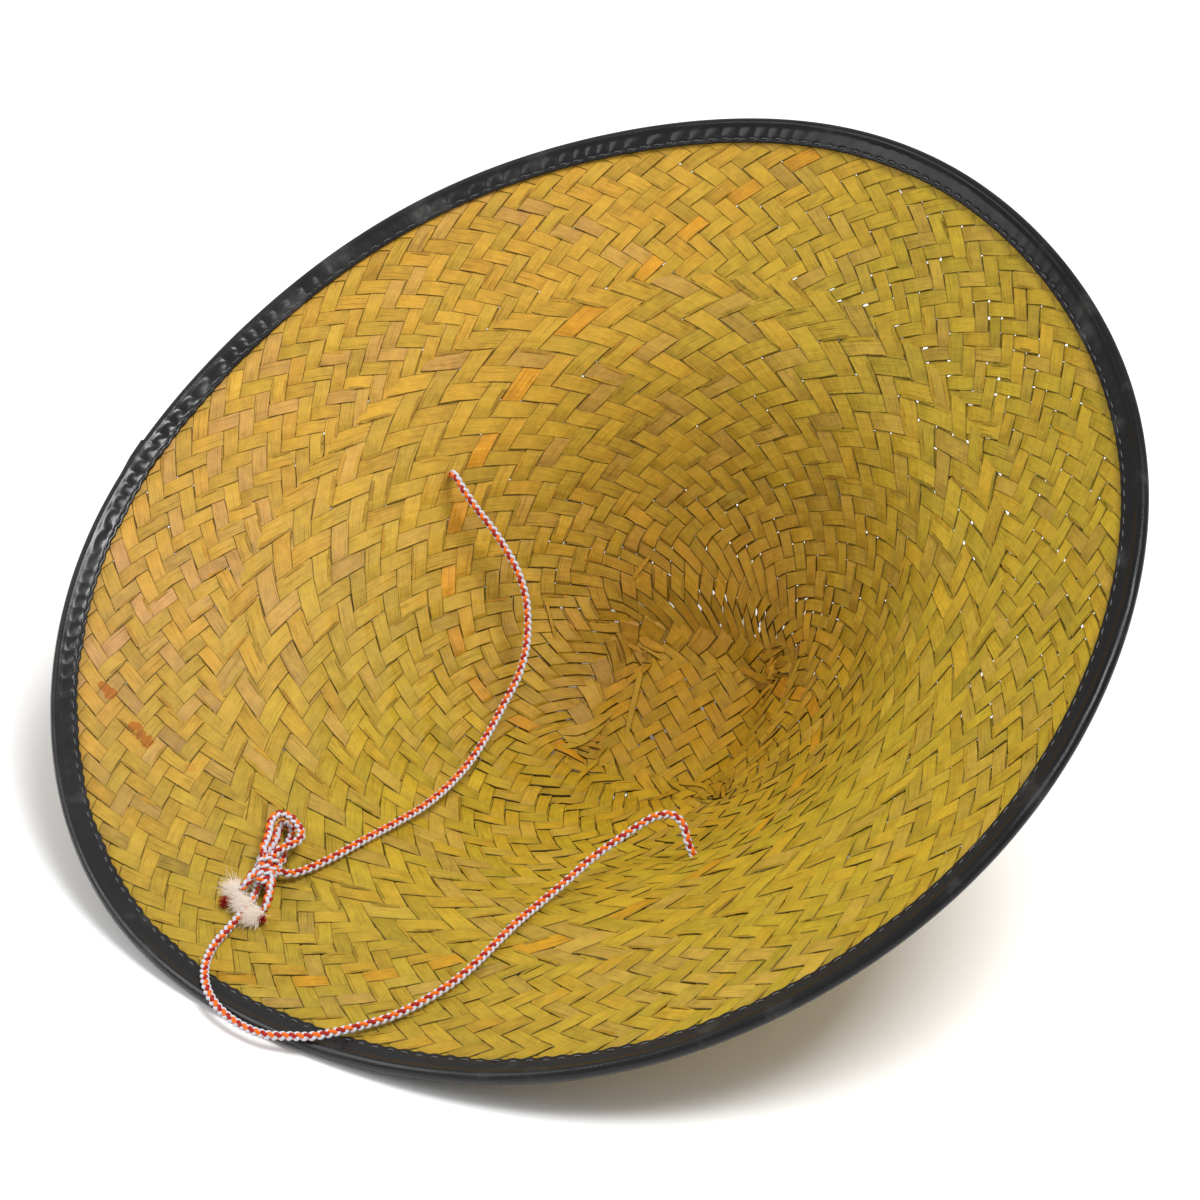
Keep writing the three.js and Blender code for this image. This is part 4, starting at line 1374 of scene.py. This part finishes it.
def coil(middle, axis, radius, turns, pitch, steps=14):
    """Places of a coil round an axis through a middle."""
    axis = np.array(axis, float) / np.linalg.norm(axis)
    aside = np.cross(axis, (0, 0, 1))
    aside /= np.linalg.norm(aside)
    across = np.cross(axis, aside)
    share = np.linspace(-0.5, 0.5, int(turns * steps))
    angle = share * turns * 2 * math.pi
    return [tuple(np.array(middle) + radius * (math.cos(a) * aside + math.sin(a) * across)
                  + axis * s * turns * pitch) for a, s in zip(angle, share)]


wraps, _ = braided("bow_knot_braid", coil(BOW_MIDDLE, (0.45, -0.85, -0.2), 3.0, 2.4, 3.0))
hitch, _ = braided("bow_hitch_braid", coil(HITCH_MIDDLE, (0.5, -0.8, -0.4), 2.5, 1.7, 2.8))
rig.replaces(wraps, "bow_knot")
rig.replaces(hitch, "bow_knot")
knots = []
for side, hole in (("left", LEFT_HOLE), ("right", RIGHT_HOLE)):
    middle = through_hole(hole, (KNOT_DISTANCE,))[0]
    knot, _ = braided(f"stop_knot_{side}_braid", coil(middle, hole[1], 2.2, 2.0, 1.6))
    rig.replaces(knot, f"stop_knot_{side}")
    knots.append(knot)


# Frayed ends
# Past the knot both ends of the cord are unravelled. Their white yarns open into soft fluff, given a
# faint painted glow for the light that scatters through it, and short dark red fibres show at the tips.
# Each fibre is a thin tube along a loose edge.
TUFTS = (
    # start, way the fibres point, length, spread, lowest height, fibres
    ((-46.0, -117.3, 12.4), (-0.9, -0.1, -0.25), 4.8, 0.45, 10.6, 1000),
    ((-40.5, -119.6, 11.6), (-0.6, -0.6, -0.25), 4.4, 0.45, 9.6, 800),
    ((-34.6, -120.8, 10.6), (-0.55, -0.75, -0.25), 5.2, 0.45, 8.3, 1000),
)
FLUFF_WIDTHS = np.linspace(0.08, 0.03, 6)
FLUFF_BEND = 1.1
RED_TIPS = (
    # middle, length of the fibres
    ((-47.6, -122.6, 10.4), 2.2), ((-32.6, -121.6, 9.6), 1.6),
)
RED_FIBRES = 150
RED_WIDTHS = np.linspace(0.16, 0.06, 4)
# painted glow: the fluff emits a little light, standing in for the light scattered through its fibres
glowing_fluff_finish, _, _ = new_material("white_fluff", 0.9, Base_Color=(0.88, 0.79, 0.70, 1),
                                  Emission_Color=(1.0, 0.88, 0.80, 1), Emission_Strength=0.09)
fibre_runs = []
for start, way, length, spread, lowest, count in TUFTS:
    way = np.array(way) / np.linalg.norm(way)
    aim = way + chance.normal(size=(count, 3)) * spread
    aim = aim / np.linalg.norm(aim, axis=1)[:, None]
    bend = chance.uniform(-FLUFF_BEND, FLUFF_BEND, size=(count, 3))
    reach = length * chance.uniform(0.45, 1, size=(count, 1, 1))
    share = np.linspace(0, 1, len(FLUFF_WIDTHS))[None, :, None]
    origin = np.array(start) + chance.normal(size=(count, 1, 3)) * 0.7
    places = origin + reach * share * aim[:, None] + reach * share ** 2 * bend[:, None] * 0.6
    places[..., 2] = np.maximum(places[..., 2], lowest + 0.4 * chance.uniform(size=(count, 1)))
    fibre_runs.append(places * MM)
tufts = threads_object("tail_fluff", np.concatenate(fibre_runs), FLUFF_WIDTHS)
tufts = grown_piece(tufts, round_threads, {"Sides": 3, "Finish": glowing_fluff_finish})
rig.ride(tufts, "root")
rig.slot(tufts, "cord")
tip_runs = []
for middle, size in RED_TIPS:
    aim = chance.normal(size=(RED_FIBRES, 3))
    aim = aim / np.linalg.norm(aim, axis=1)[:, None]
    share = np.linspace(0, 1, len(RED_WIDTHS))[None, :, None]
    tip_runs.append((np.array(middle) + size * share * aim[:, None]) * MM)
tips = threads_object("tail_red_tips", np.concatenate(tip_runs), RED_WIDTHS)
tips = grown_piece(tips, round_threads, {"Sides": 3, "Finish": yarn_finishes["red_yarn"]})
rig.ride(tips, "root")
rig.slot(tips, "cord")
bow_pieces = [wraps, hitch, outer_loop, inner_loop, upper_tail, lower_tail, tufts, tips]
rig.cord(left_cord, exit=left_line[EXIT_STEP], length=run_length(left_line), diameter=CORD_DIAMETER * MM,
        far_end="knot", stiffness="limp", lay="loose", path=left_line[::PATH_STEP],
        with_pieces=[knots[0], *bow_pieces])
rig.cord(right_cord, exit=right_line[EXIT_STEP], length=run_length(right_line),
        diameter=CORD_DIAMETER * MM, far_end="knot", stiffness="limp", lay="loose",
        path=right_line[::PATH_STEP], with_pieces=[knots[1]])


# Sizes
# The guide form is taken away. The boxes of the solids and of the finished hat are kept, to compare
# their sizes.
bpy.data.objects.remove(form)
bpy.context.view_layer.update()
finished_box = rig.bounds()
with open("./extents.json", "w") as sizes:
    json.dump({"cad": [list(corner) for corner in cad_box],
               "visual": [list(corner) for corner in finished_box]}, sizes)
